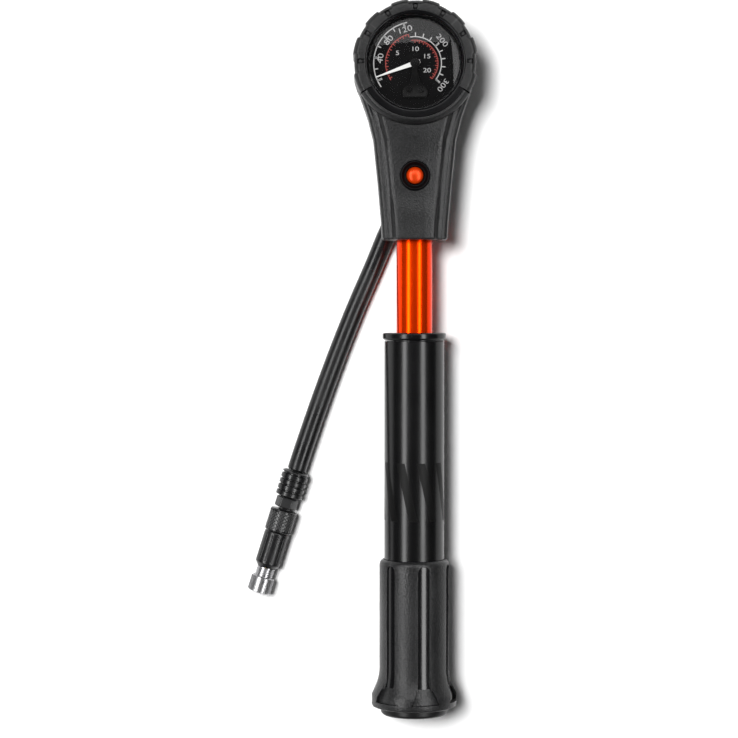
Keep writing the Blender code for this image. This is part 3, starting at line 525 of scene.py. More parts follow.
def neckSection(height):
    # one cross-section of the neck, from the back round to the ridged front; mirrored about X = 0
    half = neckHalf(height)
    dish = headShape["dish"] * smoothStep(height, 9.0, 20.0) * (1 - smoothStep(height, 34.0, 47.0))
    front, crown = neckFront - dish, headShape["crown"]
    ridgeFoot = half - headShape["ridge"]
    valleyFoot = ridgeFoot - headShape["valley"]
    side = [(half * 0.55, neckBack), (half * 0.86, neckBack + 0.9 * mm), (half, neckBack + 4.5 * mm),
            (half, neckFront - 5.2 * mm), (half - 0.5 * mm, neckFront - 3.3 * mm),
            (ridgeFoot, neckFront - 2.6 * mm), (ridgeFoot - 0.5 * mm, neckFront - 2.9 * mm),
            (valleyFoot, neckFront - 2.4 * mm), (valleyFoot - 1.1 * mm, front - crown * 0.65),
            (valleyFoot - 2.4 * mm, front - crown * 0.36), (half * 0.28, front - crown * 0.06)]
    outline = side + [(-x, z) for x, z in reversed(side)]
    return soften(outline, headShape["corner"])


def makeNeck():
    # drawn in at its foot, which has a rounded edge
    shape = bmesh.new()
    rings = []
    edge, rise = headShape["footEdge"], headShape["top"] - headShape["footEdge"]
    heights = [0.0, 0.25, edge] + [edge + rise * step / headShape["steps"]
                                   for step in range(1, headShape["steps"] + 1)]
    middle = (neckBack + neckFront) / 2
    for height in heights:
        inset = {0.0: 0.8, 0.25: 0.3}.get(height, 0.0) * mm
        widthShare = 1 - inset / neckHalf(height)
        depthShare = 1 - inset / (headShape["depth"] / 2)
        rings.append([shape.verts.new((x * widthShare, footY + height * mm,
                                       middle + (z - middle) * depthShare))
                      for x, z in neckSection(height)])
    joinRings(shape, rings)
    return shape


def makeShoulder():
    # spreads from the neck to the seam under the guard
    shape = bmesh.new()
    inner, outer, bore = headShape["shoulderInner"], headShape["shoulder"], headShape["ringBore"]
    low, high, ledge = headShape["shoulderLow"], headShape["shoulderHigh"], headShape["ringLedge"]
    outline = soften([(inner, low), (outer - 2.2 * mm, low), (outer, low + 2.4 * mm),
                       (outer, high - 2.4 * mm),
                      (outer - 1.6 * mm, high - 0.4 * mm), (bore, high), (bore, ledge), (inner, ledge)],
                     0.8 * mm, 4)
    rows = []
    for step in range(headShape["seamSteps"] + 1):
        turn = headShape["seam"] + (360 - 2 * headShape["seam"]) * step / headShape["seamSteps"]
        x, y = onCircle(1, turn)
        rows.append([shape.verts.new((x * r, gaugeY + y * r, z)) for r, z in outline])
    joinRings(shape, rows)
    return shape


def makeHeadShell():
    outer, high = headShape["cupOuter"], headShape["cupHeight"]
    cup = lathe(soften([(0, 0), (outer, 0), (outer, high), (0, high)],
                       [0, 1.2 * mm, 0.3 * mm, 0], 4, False), 128)
    cup.transform(gaugePlace)
    moulding = bmesh.new()
    moulding.from_mesh(booleanMesh("headSolid", makeNeck(), [cup, makeShoulder()], 'UNION'))
    cutters = []
    # radius, from, to, sides and place of the gauge's pocket, the barrel's bore and the button's well
    for reach, low, top, sides, place in (
            (headShape["cupInner"], headShape["cupFloor"], 40 * mm, 120, gaugePlace),
            (headShape["bore"], -110 * mm, headShape["boreTop"], 64, pumpPlace),
            (headShape["well"], headShape["wellFloor"], 40 * mm, 80, pivotPlace)):
        cutter = lathe([(0, low), (reach, low), (reach, top), (0, top)], sides)
        cutter.transform(place)
        cutters.append(cutter)
    adoptMesh("headShell", booleanMesh("headShell", moulding, cutters), "headNylon", "head_shell", sharp=28)


# ---- rubber guard: pads stand out from a thinner band, with notches moulded in its face
guard = {"inner": 23.2 * mm, "outer": 25.1 * mm, "pad": 25.8 * mm, "end": 119.4, "low": 3.0 * mm,
         "high": 35.0 * mm, "lip": 20.6 * mm, "lipLow": 34.1 * mm, "padTurns": (15, 45, 75), "padHalf": 7.5,
         "ramp": 1.2, "tail": (100, 102.5), "notchTurns": (0, 30, 60, 90), "notchHalf": 2.6,
         "notchDepth": 1.5 * mm, "steps": 480}


def guardReach(turn):
    # the outer radius at an angle from the top: pads, and a thicker tail at each end
    away = abs(turn)
    pads = [1 - smoothStep(abs(away - middle), guard["padHalf"], guard["padHalf"] + guard["ramp"])
            for middle in guard["padTurns"]]
    share = max(pads + [smoothStep(away, *guard["tail"])])
    return guard["outer"] + (guard["pad"] - guard["outer"]) * share


def guardSection(reach):
    inner, low, top, lip, lipLow = (guard[key] for key in ("inner", "low", "high", "lip", "lipLow"))
    corners = [(inner, low), (reach - 1.0 * mm, low), (reach, low + 1.4 * mm), (reach, top - 2.0 * mm),
               (reach - 1.5 * mm, top), (lip, top), (lip, lipLow), (inner, lipLow)]
    radii = [0.2, 0.5, 0.6, 1.4, 0.9, 0.5, 0.1, 0.2]
    return soften(corners, [radius * mm for radius in radii], 4)


def makeGuard():
    shape = bmesh.new()
    rings = []
    for step in range(guard["steps"] + 1):
        turn = -guard["end"] + 2 * guard["end"] * step / guard["steps"]
        notch = max(1 - min(abs(abs(turn) - middle) / guard["notchHalf"], 1)
                    for middle in guard["notchTurns"])
        x, y = onCircle(1, turn)
        ring = []
        for radius, height in guardSection(guardReach(turn)):
            # a notch is a shallow wedge, widest at the outer edge of the face
            if height > guard["high"] - 0.4 * mm:
                height -= guard["notchDepth"] * min(notch * 1.6, 1) * smoothStep(radius, 21.6 * mm, 22.6 * mm)
            ring.append(shape.verts.new((x * radius, gaugeY + y * radius, height)))
        rings.append(ring)
    joinRings(shape, rings)
    addPiece("gaugeGuard", shape, "bumperRubber", "gauge_bumper", sharp=40)


makeHeadShell()
makeGuard()
print("head and guard made")

# ---- gauge: ring, lens, hand and the bridge over it
gauge = {"ringInner": 19.5 * mm, "ringOuter": 22.9 * mm, "ringLow": 30.5 * mm, "ringHigh": 34.0 * mm,
         "lensReach": 19.2 * mm, "lensCurve": 80.0 * mm, "lensThick": 0.9 * mm, "lensSteps": 16}
hand = {"turn": -110.0, "length": 17.2 * mm, "tail": 2.2 * mm, "root": 1.0 * mm, "tip": 0.2 * mm,
        "low": 27.7 * mm, "high": 28.15 * mm, "boss": 1.5 * mm, "bossLow": 27.5 * mm, "bossHigh": 28.4 * mm}
bridge = {"head": 2.0 * mm, "low": 28.5 * mm, "high": 29.4 * mm, "bevel": 0.35 * mm, "footLow": 27.1 * mm,
          "screwX": 2.5 * mm, "screwY": -11.2 * mm, "screwLow": 28.9 * mm, "screwHigh": 30.3 * mm,
          "slotTurns": (20, 110), "slot": (1.7 * mm, 0.36 * mm, 0.7 * mm)}
# the bridge's right side from the waist down to its foot
bridgeSide = ((1.28, -3.2), (1.3, -4.6), (1.55, -6.2), (2.1, -7.8), (3.2, -9.4), (4.5, -10.6), (5.05, -11.6),
              (5.15, -12.8), (4.9, -13.8), (4.3, -14.1))
bridgeFoot = ((-4.9, -13.9), (4.9, -13.9), (3.9, -9.9), (-3.9, -9.9))


def makeLensRing():
    inner, outer, low, high = (gauge[key] for key in ("ringInner", "ringOuter", "ringLow", "ringHigh"))
    turnPiece("lensRing", [(inner, low), (outer, low), (outer, high), (inner + 0.7 * mm, high),
                           (inner, high - 0.65 * mm), (inner, high - 2.0 * mm)],
              "ringGloss", "lens_ring", gaugePlace, 0.2 * mm, 160)


def makeLens():
    # a thin domed shell
    curve, steps = gauge["lensCurve"], gauge["lensSteps"]
    across = [gauge["lensReach"] * step / steps for step in range(steps + 1)]

    def dome(high):
        return [(reach, high - curve + math.sqrt(curve * curve - reach ** 2)) for reach in across]

    lens = lathe(dome(lensFront - gauge["lensThick"]) + dome(lensFront)[::-1], 128)
    return addPiece("gaugeLens", lens, "lensClear", "gauge_lens", gaugePlace, sharp=40)


def dimLens(lens):
    # the panels glare in the lens, so it has a dimmer copy of each to itself; light passes it to the dial
    lens.visible_shadow = False
    own = bpy.data.collections.new("lensOnly")
    others = bpy.data.collections.new("allButLens")
    for group in (own, others):
        group.objects.link(lens)
    others.collection_objects[0].light_linking.link_state = 'EXCLUDE'
    for name in panels:
        panel = bpy.data.objects[name]
        panel.light_linking.receiver_collection = others
        if name == "softKey":
            continue
        dim = panel.copy()
        dim.name = name + "Dim"
        dim.data = panel.data.copy()
        dim.data.energy *= studio["lensShare"]
        bpy.context.scene.collection.objects.link(dim)
        dim.light_linking.receiver_collection = own


def flatPiece(name, outline, low, high, finish, node, bevel=0.0, place=None, replace=True):
    # a plate from an (x, y) outline, with its upper edge chamfered
    shape = bmesh.new()
    layers = [(low, 0.0), (high - bevel, 0.0), (high, bevel)] if bevel > 0 else [(low, 0.0), (high, 0.0)]
    points = [Vector(point) for point in outline]
    middle = sum(points, Vector((0, 0))) / len(points)
    rings = []
    for height, inset in layers:
        drawnIn = [point - (point - middle).normalized() * inset for point in points]
        rings.append([shape.verts.new((point.x, point.y, height)) for point in drawnIn])
    joinRings(shape, rings)
    addPiece(name, shape, finish, node, place, replace=replace)


def makeHand():
    root, tip, tail, length = (hand[key] for key in ("root", "tip", "tail", "length"))
    outline = [(-root * 0.8, -tail), (root * 0.8, -tail), (root, 0),
               (tip, length), (-tip, length), (-root, 0)]
    turn = Matrix.Rotation(-math.radians(hand["turn"]), 4, 'Z')
    flatPiece("gaugeHand", outline, hand["low"], hand["high"], "handWhite", "pointer", 0.12 * mm,
              gaugePlace @ turn)
    reach, low, high = hand["boss"], hand["bossLow"], hand["bossHigh"]
    boss = soften([(0, low), (reach, low), (reach, high), (0, high)], [0, 0, 0.2 * mm, 0], 3, False)
    addPiece("gaugeHandBoss", lathe(boss, 32), "machinedBrass", "pointer", gaugePlace, replace=False)


def makeBridge():
    # bell shape: a round head over the hub, a waist and a spread foot
    side = [onCircle(bridge["head"], angle) for angle in range(10, 141, 10)]
    side += [(x * mm, y * mm) for x, y in bridgeSide]
    outline = [(0, bridge["head"])] + side + [(-x, y) for x, y in reversed(side)]
    flatPiece("pointerBridge", outline, bridge["low"], bridge["high"], "bridgeBlack", "pointer_bridge",
              bridge["bevel"], gaugePlace)
    flatPiece("bridgeFoot", [(x * mm, y * mm) for x, y in bridgeFoot], bridge["footLow"],
              bridge["low"] + 0.1 * mm, "bridgeBlack", "pointer_bridge", 0, gaugePlace, replace=False)


def makeBridgeScrew(name, node, side):
    low, high = bridge["screwLow"], bridge["screwHigh"]
    head = soften([(0, low), (0.6 * mm, low), (1.3 * mm, low + 0.7 * mm),
                   (1.3 * mm, high - 0.2 * mm), (0, high)],
                  [0, 0, 0.1 * mm, 0.2 * mm, 0], 3, False)
    slots = []
    for turn in bridge["slotTurns"]:
        slot = bmesh.new()
        place = Matrix.Translation((0, 0, high)) @ Matrix.Rotation(math.radians(turn + 25 * side), 4, 'Z')
        bmesh.ops.create_cube(slot, size=1.0, matrix=place @ Matrix.Diagonal((*bridge["slot"], 1)))
        slots.append(slot)
    mesh = booleanMesh(name, lathe(head, 32), slots)
    mesh.transform(gaugePlace @ Matrix.Translation((side * bridge["screwX"], bridge["screwY"], 0)))
    adoptMesh(name, mesh, "bridgeBlack", node)


makeLensRing()
dimLens(makeLens())
makeHand()
makeBridge()
makeBridgeScrew("bridgeScrewLeft", "bridge_screw_left", -1)
makeBridgeScrew("bridgeScrewRight", "bridge_screw_right", 1)
print("gauge made")


# ---- one Geometry Nodes tree sets small boxes round a circle: dial ticks, knurls and ridges
def buildRingTree():
    # each box is turned to face the axis; a rise on each winds them round it
    tree, put, out = openTree("ringArray", 'GeometryNodeTree', (
        ("Count", "Int", None), ("Radius", "Float", None), ("Start", "Float", None), ("Step", "Float", None),
        ("Size", "Vector", None), ("Height", "Float", None), ("Rise", "Float", None), ("Tilt", "Float", None),
        ("Finish", "Material", None)), (("Geometry", "Geometry"),))
    index = putNode(tree, "GeometryNodeInputIndex", {})[0]
    angle = maths(tree, 'MULTIPLY_ADD', index, put["Step"], put["Start"])
    spot = putNode(tree, "ShaderNodeCombineXYZ", {
        "X": maths(tree, 'MULTIPLY', maths(tree, 'SINE', angle), put["Radius"]),
        "Y": maths(tree, 'MULTIPLY', maths(tree, 'COSINE', angle), put["Radius"]),
        "Z": maths(tree, 'MULTIPLY_ADD', index, put["Rise"], put["Height"])})["Vector"]
    points = putNode(tree, "GeometryNodePoints", {"Count": put["Count"], "Position": spot})[0]
    box = putNode(tree, "GeometryNodeMeshCube", {"Size": put["Size"]})["Mesh"]
    facing = putNode(tree, "ShaderNodeCombineXYZ", {"Z": maths(tree, 'SUBTRACT', 0.0, angle)})["Vector"]
    copies = putNode(tree, "GeometryNodeInstanceOnPoints", {
        "Points": points, "Instance": box, "Rotation": facing})["Instances"]
    tilt = putNode(tree, "ShaderNodeCombineXYZ", {"Y": put["Tilt"]})["Vector"]
    tilted = putNode(tree, "GeometryNodeRotateInstances",
                     {"Instances": copies, "Rotation": tilt})["Instances"]
    real = putNode(tree, "GeometryNodeRealizeInstances", {0: tilted})[0]
    coloured = putNode(tree, "GeometryNodeSetMaterial", {"Geometry": real, "Material": put["Finish"]})[0]
    tree.links.new(coloured, out["Geometry"])
    return tree


ringTree = buildRingTree()


def ringMesh(finish, **values):
    # evaluates the tree with its own inputs and keeps the plain mesh
    values["Finish"] = finishes[finish]
    holder = bpy.data.objects.new("ring", bpy.data.meshes.new("ring"))
    bpy.context.scene.collection.objects.link(holder)
    modifier = holder.modifiers.new("grow", 'NODES')
    modifier.node_group = ringTree
    for item in ringTree.interface.items_tree:
        if item.in_out == 'INPUT' and item.name in values:
            modifier[item.identifier] = values[item.name]
    holder.update_tag()
    graph = bpy.context.evaluated_depsgraph_get()
    mesh = bpy.data.meshes.new_from_object(holder.evaluated_get(graph))
    bpy.data.objects.remove(holder)
    return mesh


# ---- dial: a plate with two printed scales. Angles are in degrees clockwise from the top, the rest in mm
dial = {"reach": 19.6 * mm, "low": 26.0 * mm, "high": 26.8 * mm, "print": 0.05 * mm, "stretch": 1.3,
        "printLow": 26.81 * mm, "thin": -0.02 * mm}
# arcs: from, to, radius, width; ticks: first, sweep, count, radius, length, width
outerScale = {"arcs": ((-11, -125, 17.0, 0.45), (-11, 128, 10.9, 0.40)),
              "ticks": ((-16, -99, 7, 16.2, 1.7, 0.42), (1, 128, 9, 11.8, 1.7, 0.42),
                        (-16, -99, 4, 16.0, 2.1, 0.8), (50, 78, 2, 11.9, 2.1, 0.8))}
innerScale = {"arcs": ((-13, -125, 12.1, 0.26), (-10, 133, 9.5, 0.26)),
              "ticks": ((-13, -108, 10, 11.5, 1.1, 0.3), (-19, -96, 9, 11.75, 0.6, 0.3),
                        (0, 132, 12, 8.9, 1.1, 0.3), (6, 120, 11, 9.15, 0.6, 0.3))}
# numbers: text, size, radius, angle
outerNumbers = (("120", 3.3, 14.3, -17), ("80", 3.3, 14.3, -49), ("40", 3.3, 14.3, -82),
                ("200", 3.1, 14.5, 50),
                ("300", 3.1, 14.6, 128))
innerNumbers = (("5", 2.6, 8.3, -60), ("10", 2.6, 5.8, 0), ("15", 2.6, 5.6, 60), ("20", 2.6, 5.8, 121))


def arcMesh(start, end, radius, width):
    shape = bmesh.new()
    rings = []
    inner, outer = (radius - width / 2) * mm, (radius + width / 2) * mm
    low, high = dial["printLow"], dial["printLow"] + dial["print"]
    for step in range(65):
        x, y = onCircle(1, start + (end - start) * step / 64)
        rings.append([shape.verts.new((x * r, y * r, z))
                      for r, z in ((inner, low), (outer, low), (outer, high), (inner, high))])
    joinRings(shape, rings)
    bmesh.ops.recalc_face_normals(shape, faces=shape.faces)
    mesh = bpy.data.meshes.new("arc")
    shape.to_mesh(mesh)
    shape.free()
    return mesh


def tickMesh(finish, first, turned, count, radius, length, width):
    return ringMesh(finish, Count=count, Radius=radius * mm, Start=math.radians(first),
                    Step=math.radians(turned / (count - 1)), Rise=0.0, Tilt=0.0,
                    Size=(width * mm, length * mm, dial["print"]),
                    Height=dial["printLow"] + dial["print"] / 2)


def numberMesh(text, size, radius, turn, upright=False):
    curve = bpy.data.curves.new("number", 'FONT')
    curve.body = text
    curve.size = size * mm
    curve.align_x, curve.align_y = 'CENTER', 'CENTER'
    curve.extrude = dial["print"] / 2
    curve.offset = 0.0 if upright else dial["thin"]
    holder = bpy.data.objects.new("number", curve)
    bpy.context.scene.collection.objects.link(holder)
    graph = bpy.context.evaluated_depsgraph_get()
    mesh = bpy.data.meshes.new_from_object(holder.evaluated_get(graph))
    bpy.data.objects.remove(holder)
    x, y = onCircle(radius * mm, turn)
    spin = 0 if upright else -math.radians(turn)
    mesh.transform(Matrix.Translation((x, y, dial["printLow"] + dial["print"] / 2))
                   @ Matrix.Rotation(spin, 4, 'Z') @ Matrix.Diagonal((dial["stretch"], 1, 1, 1)))
    return mesh


def makeScale(name, finish, scale, numbers):
    meshes = [arcMesh(*arc) for arc in scale["arcs"]] + [tickMesh(finish, *ticks) for ticks in scale["ticks"]]
    shape = bmesh.new()
    for mesh in meshes + numbers:
        shape.from_mesh(mesh)
        bpy.data.meshes.remove(mesh)
    addPiece(name, shape, finish, "dial_plate", gaugePlace, replace=False)


def makeDial():
    reach, low, high = dial["reach"], dial["low"], dial["high"]
    plate = soften([(0, low), (reach, low), (reach, high), (0, high)], [0, 0, 0.1 * mm, 0], 2, False)
    addPiece("dialFace", lathe(plate, 128), "dialBlack", "dial_plate", gaugePlace)
    numbers = [numberMesh(*number) for number in outerNumbers]
    numbers += [numberMesh(*number, upright=True) for number in innerNumbers]
    makeScale("dialScale", "printWhite", outerScale, numbers)
    makeScale("dialBarScale", "printRed", innerScale, [])


makeDial()
print("dial made")

# ---- bleed button in its dished ring, and its spring
bleed = {"reach": 3.5 * mm, "low": 25.5 * mm, "high": 31.9 * mm, "crown": 1.9 * mm, "ringInner": 3.8 * mm,
         "ringOuter": 6.2 * mm, "ringLow": 27.3 * mm, "ringHigh": 31.3 * mm}
spring = {"wire": 0.3 * mm, "turns": 4, "steps": 32, "travel": 2.0 * mm}


def makeBleed():
    inner, outer, low, high = (bleed[key] for key in ("ringInner", "ringOuter", "ringLow", "ringHigh"))
    # the ring's finish is black with painted recess shade
    turnPiece("buttonRing", [(inner, low), (outer, low), (outer, high - 0.4 * mm), (outer - 0.5 * mm, high),
                             (outer - 0.7 * mm, high), (inner + 0.6 * mm, high - 1.8 * mm),
                             (inner, high - 1.9 * mm)], "recessBlack", "button_ring", pivotPlace, 0.25 * mm)
    reach, low, crown = bleed["reach"], bleed["low"], bleed["crown"]
    rim = bleed["high"] - crown
    dome = [(0, low), (reach - 0.2 * mm, low), (reach, low + 0.3 * mm), (reach, rim)]
    dome += [(reach * math.cos(math.pi * step / 20), rim + crown * math.sin(math.pi * step / 20))
             for step in range(1, 10)]
    dome.append((0, bleed["high"]))
    addPiece("bleedDome", lathe(dome, 72), "orangeDome", "bleed_button", pivotPlace, sharp=50)


def makeSpring():
    # a coil of round wire that fills the spring's box; it is drawn at rest, not shortened by the button's
    # travel
    low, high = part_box("bleed_spring")
    wire, steps, travel = spring["wire"], spring["steps"], spring["travel"]
    count = spring["turns"] * steps
    rise = (high.z - low.z - 2 * wire) / count
    around = circle((high.x - low.x) / 2 - wire, steps)
    line = [Vector((around[k % steps][0], pivotY + around[k % steps][1], low.z + wire + rise * k))
            for k in range(count + 1)]
    section = circle(wire, 10)
    shape = bmesh.new()
    sweep(shape, line, lambda index: section)
    coil = addPiece("bleedCoil", shape, "machinedSteel", "bleed_spring", sharp=60)
    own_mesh(coil)


makeBleed()
makeSpring()
print("bleed button made")

# ---- barrel and handle: distances run down the axis from the collar's top, in mm
barrel = {"inner": 6.0 * mm, "outer": 7.5 * mm, "low": -98.004 * mm, "high": 61.796 * mm}
handle = {"tube": 12.55 * mm, "tubeInner": 11.0 * mm, "collar": 13.35 * mm, "collarInner": 8.0 * mm}
graphic = {"bars": 9, "top": -42.4 * mm, "bottom": -66.7 * mm, "share": 0.42, "lean": 26.0, "lift": 0.03 * mm,
           "sunk": 0.02 * mm, "across": 10, "along": 14}


def down(distance):
    return collarTopY - distance * mm


def makeBarrel():
    inner, outer, low, high = (barrel[key] for key in ("inner", "outer", "low", "high"))
    turnPiece("pumpBarrel", [(inner, low), (outer, low), (outer, high), (inner, high)], "orangeTube",
              "cylinder_tube", pumpPlace, 0.2 * mm)


def makeCollar():
    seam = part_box("handle_tube")[1].y + 0.25 * mm
    tube, inner, outer = handle["tube"], handle["collarInner"], handle["collar"]
    turnPiece("handleCollar", [(inner, seam), (tube, seam), (tube, down(2.95)), (outer - 0.2 * mm, down(2.6)),
                               (outer, down(2.3)), (outer, down(0.5)), (outer - 0.5 * mm, down(0)),
                               (inner + 1.0 * mm, down(0)), (inner, down(0.4))],
              "ringGloss", "handle_collar", pumpPlace, 0.2 * mm)


def makeTube():
    low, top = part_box("handle_tube")[0].y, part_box("handle_tube")[1].y
    inner, outer = handle["tubeInner"], handle["tube"]
    turnPiece("handleTube", [(inner, low), (outer, low), (outer, top), (inner, top)], "tubeBlack",
              "handle_tube", pumpPlace, 0.15 * mm, 128)


def makeTubeBars():
    # a plain band of slanted bars printed round the tube
    shape = bmesh.new()
    across, along = graphic["across"], graphic["along"]
    under = handle["tube"] - graphic["sunk"]
    # one row's points: along the underside and back over the top
    rowPoints = [(under, column) for column in range(across, -1, -1)]
    rowPoints += [(under + graphic["lift"], column) for column in range(across + 1)]
    for bar in range(graphic["bars"]):
        rings = []
        for row in range(along + 1):
            share = row / along
            height = graphic["top"] + (graphic["bottom"] - graphic["top"]) * share
            ring = []
            for radius, column in rowPoints:
                turn = (bar + graphic["share"] * column / across) * 360 / graphic["bars"]
                x, y = onCircle(radius, turn - graphic["lean"] * share)
                ring.append(shape.verts.new((x, y, height)))
            rings.append(ring)
        joinRings(shape, rings)
    addPiece("tubeBars", shape, "barBlack", "handle_tube", pumpPlace, replace=False)


makeBarrel()
makeCollar()
makeTube()
makeTubeBars()
print("barrel and handle tube made")

# ---- grip: a gloss core shows in the slots of a ribbed rubber sleeve that flares to a flange
grip = {"slots": 6, "slotStart": 97.0, "slotEnd": 147.9, "pocketEnd": 153.6, "slotWidth": 4.7 * mm,
        "near": 5.5 * mm, "far": 11.0 * mm, "flareStart": 140.5, "flareEnd": 151.7, "flareSteps": 14,
        "sleeve": 14.6 * mm, "core": 13.75 * mm, "flange": 17.8 * mm, "coreFlange": 16.0 * mm,
        "coreEnd": 155.6, "coreInner": 12.9 * mm, "sleeveInner": 12.8 * mm}
endCap = {"inner": 3.6 * mm, "outer": 13.9 * mm, "chamfer": 0.8 * mm, "height": 3.2 * mm}
rodScrew = {"head": 3.3 * mm, "shank": 1.5 * mm, "sunk": 0.2 * mm, "deep": 1.3 * mm, "length": 8 * mm,
            "key": 1.75 * mm, "keyDeep": 1.1 * mm}


def flarePoints(start, end, grow=0.0):
    # from the straight part down to the flange
    points = []
    for step in range(grip["flareSteps"] + 1):
        share = step / grip["flareSteps"]
        reach = start + (end - start) * (1 - math.cos(share * math.pi / 2)) ** 1.1
        distance = grip["flareStart"] + (grip["flareEnd"] - grip["flareStart"]) * share
        points.append((reach + grow, down(distance)))
    return points


def slotOutline(grow):
    # a long slot with a round top that opens into a wedge at its lower end
    half = grip["slotWidth"] / 2 + grow
    top = down(grip["slotStart"]) + grow
    side = [(half * math.sin(math.radians(a)), top - half + half * math.cos(math.radians(a)))
            for a in range(9, 91, 9)]
    side += [(half, down(grip["slotEnd"] + 0.6)), (grip["near"] / 2 + grow, down(grip["slotEnd"])),
             (grip["far"] / 2 + grow, down(grip["pocketEnd"]) - grow)]
    return [(0, top)] + side + [(-x, y) for x, y in reversed(side)]


def makeGripCore(top):
    inner, foot = grip["coreInner"], down(grip["coreEnd"])
    outline = [(inner, foot), (grip["coreFlange"], foot)]
    outline += flarePoints(grip["core"], grip["coreFlange"])[::-1]
    outline += [(grip["core"], top - 1.4 * mm), (inner, top - 1.4 * mm)]
    piece = addPiece("gripCore", lathe(outline, 128), "coreGloss", "grip_core", pumpPlace, sharp=40)
    piece.data.materials.append(finishes["gripMatte"])
    for face in piece.data.polygons:
        if face.center.y < down(grip["slotEnd"]):
            face.material_index = 1


def makeGripSleeve(low, top):
    flange, sleeve, inner = grip["flange"], grip["sleeve"], grip["sleeveInner"]
    outline = [(flange - 0.9 * mm, low), (flange - 0.25 * mm, low + 0.3 * mm), (flange, low + 0.9 * mm)]
    outline += flarePoints(sleeve, flange)[::-1]
    outline += [(sleeve, top - 2.4 * mm), (sleeve - 0.25 * mm, top - 1.2 * mm),
                (sleeve - 0.9 * mm, top - 0.35 * mm), (sleeve - 1.5 * mm, top), (inner, top)]
    outline += [(inner, top - 1.2 * mm), (grip["core"] + 0.1 * mm, top - 1.2 * mm)]
    outline += flarePoints(grip["core"], grip["coreFlange"], 0.1 * mm)
    outline.append((flange - 1.7 * mm, low))
    cutters = []
    for index in range(grip["slots"]):
        cutter = bmesh.new()
        # height over the axis and how far the slot has opened there
        joinRings(cutter, [[cutter.verts.new((x, y, height * mm)) for x, y in slotOutline(grow * mm)]
                           for height, grow in ((12.0, 0), (14.0, 0), (15.0, 0.55), (24.0, 0.9))])
        spin = Matrix.Rotation(math.tau * (index + 0.25) / grip["slots"], 4, 'Y')
        cutter.transform(Matrix.Translation((0, 0, axisZ)) @ spin)
        cutters.append(cutter)
    shape = lathe(outline, 144)
    shape.transform(pumpPlace)
    adoptMesh("gripSleeve", booleanMesh("gripSleeve", shape, cutters), "gripMatte", "grip_sleeve", sharp=35)


def makeEndCap():
    low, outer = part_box("end_cap")[0].y, endCap["outer"]
    high = low + endCap["height"]
    inner, chamfer = endCap["inner"], endCap["chamfer"]
    turnPiece("endCap", [(inner, low), (outer - chamfer, low), (outer, low + chamfer), (outer, high),
                         (inner, high)], "capBlack", "end_cap", pumpPlace, 0.4 * mm)


def keyedHead(name, outline, rounding, across, low, high, place):
    # a turned screw with a hexagon socket in its end
    socket = bmesh.new()
    joinRings(socket, [[socket.verts.new((x, y, z)) for x, y in circle(across, 6)] for z in (low, high)])
    mesh = booleanMesh(name, lathe(soften(outline, rounding, 4, False), 64), [socket])
    mesh.transform(place)
    return mesh


def makeRodScrew():
    low, reach, shank = endY + rodScrew["sunk"], rodScrew["head"], rodScrew["shank"]
    shoulder, top = low + rodScrew["deep"], low + rodScrew["length"]
    outline = [(0, low), (reach, low), (reach, shoulder), (shank, shoulder), (shank, top), (0, top)]
    mesh = keyedHead("rodScrew", outline, [0, 0.4 * mm, 0, 0, 0, 0], rodScrew["key"], low - 1 * mm,
                     low + rodScrew["keyDeep"], pumpPlace)
    adoptMesh("rodScrew", mesh, "machinedSteel", "rod_screw")


sleeveLow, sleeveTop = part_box("grip_sleeve")[0].y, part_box("grip_sleeve")[1].y
makeGripCore(sleeveTop)
makeGripSleeve(sleeveLow, sleeveTop)
makeEndCap()
makeRodScrew()
print("grip made")

# ---- swivel behind the neck: the hollow bolt's head, and the hose's crimped ferrule
swivel = {"head": 4.6 * mm, "shank": 3.0 * mm, "deep": 1.3 * mm, "key": 2.3 * mm, "keyDeep": 0.9 * mm}
ferrule = {"start": 9.8 * mm, "end": 15.7 * mm, "neck": 3.5 * mm, "valley": 4.0 * mm, "crest": 4.3 * mm,
           "crimps": 3, "first": 10.2 * mm, "pitch": 1.8 * mm}


def makeSwivelBolt():
    low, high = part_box("swivel_post")[0].z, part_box("swivel_post")[1].z
    reach, shank, shoulder = swivel["head"], swivel["shank"], low + swivel["deep"]
    outline = [(0, low), (reach, low), (reach, shoulder), (shank, shoulder), (shank, high), (0, high)]
    mesh = keyedHead("swivelBolt", outline, [0, 0.45 * mm, 0.1 * mm, 0, 0, 0], swivel["key"], low - 1 * mm,
                     low + swivel["keyDeep"], pivotPlace)
    adoptMesh("swivelBolt", mesh, "machinedSteel", "swivel_post")


def makeFerrule():
    alongHose = (Matrix.Translation((0, pivotY, hoseRoute["height"]))
                 @ Matrix.Rotation(-math.radians(hoseRoute["leave"]), 4, 'Z')
                 @ Matrix.Rotation(math.pi / 2, 4, 'X'))
    valley, crest = ferrule["valley"], ferrule["crest"]
    outline = [(0, ferrule["start"]), (ferrule["neck"], ferrule["start"])]
    for crimp in range(ferrule["crimps"]):
        start = ferrule["first"] + ferrule["pitch"] * crimp
        outline += [(crest, start), (crest, start + 1.0 * mm), (valley, start + 1.2 * mm),
                    (valley, start + 1.6 * mm)]
    outline += [(valley, ferrule["end"]), (0, ferrule["end"])]
    addPiece("hoseFerrule", lathe(outline, 64), "connectorBlack", "hose_ferrule", alongHose)


makeSwivelBolt()
makeFerrule()
print("swivel made")

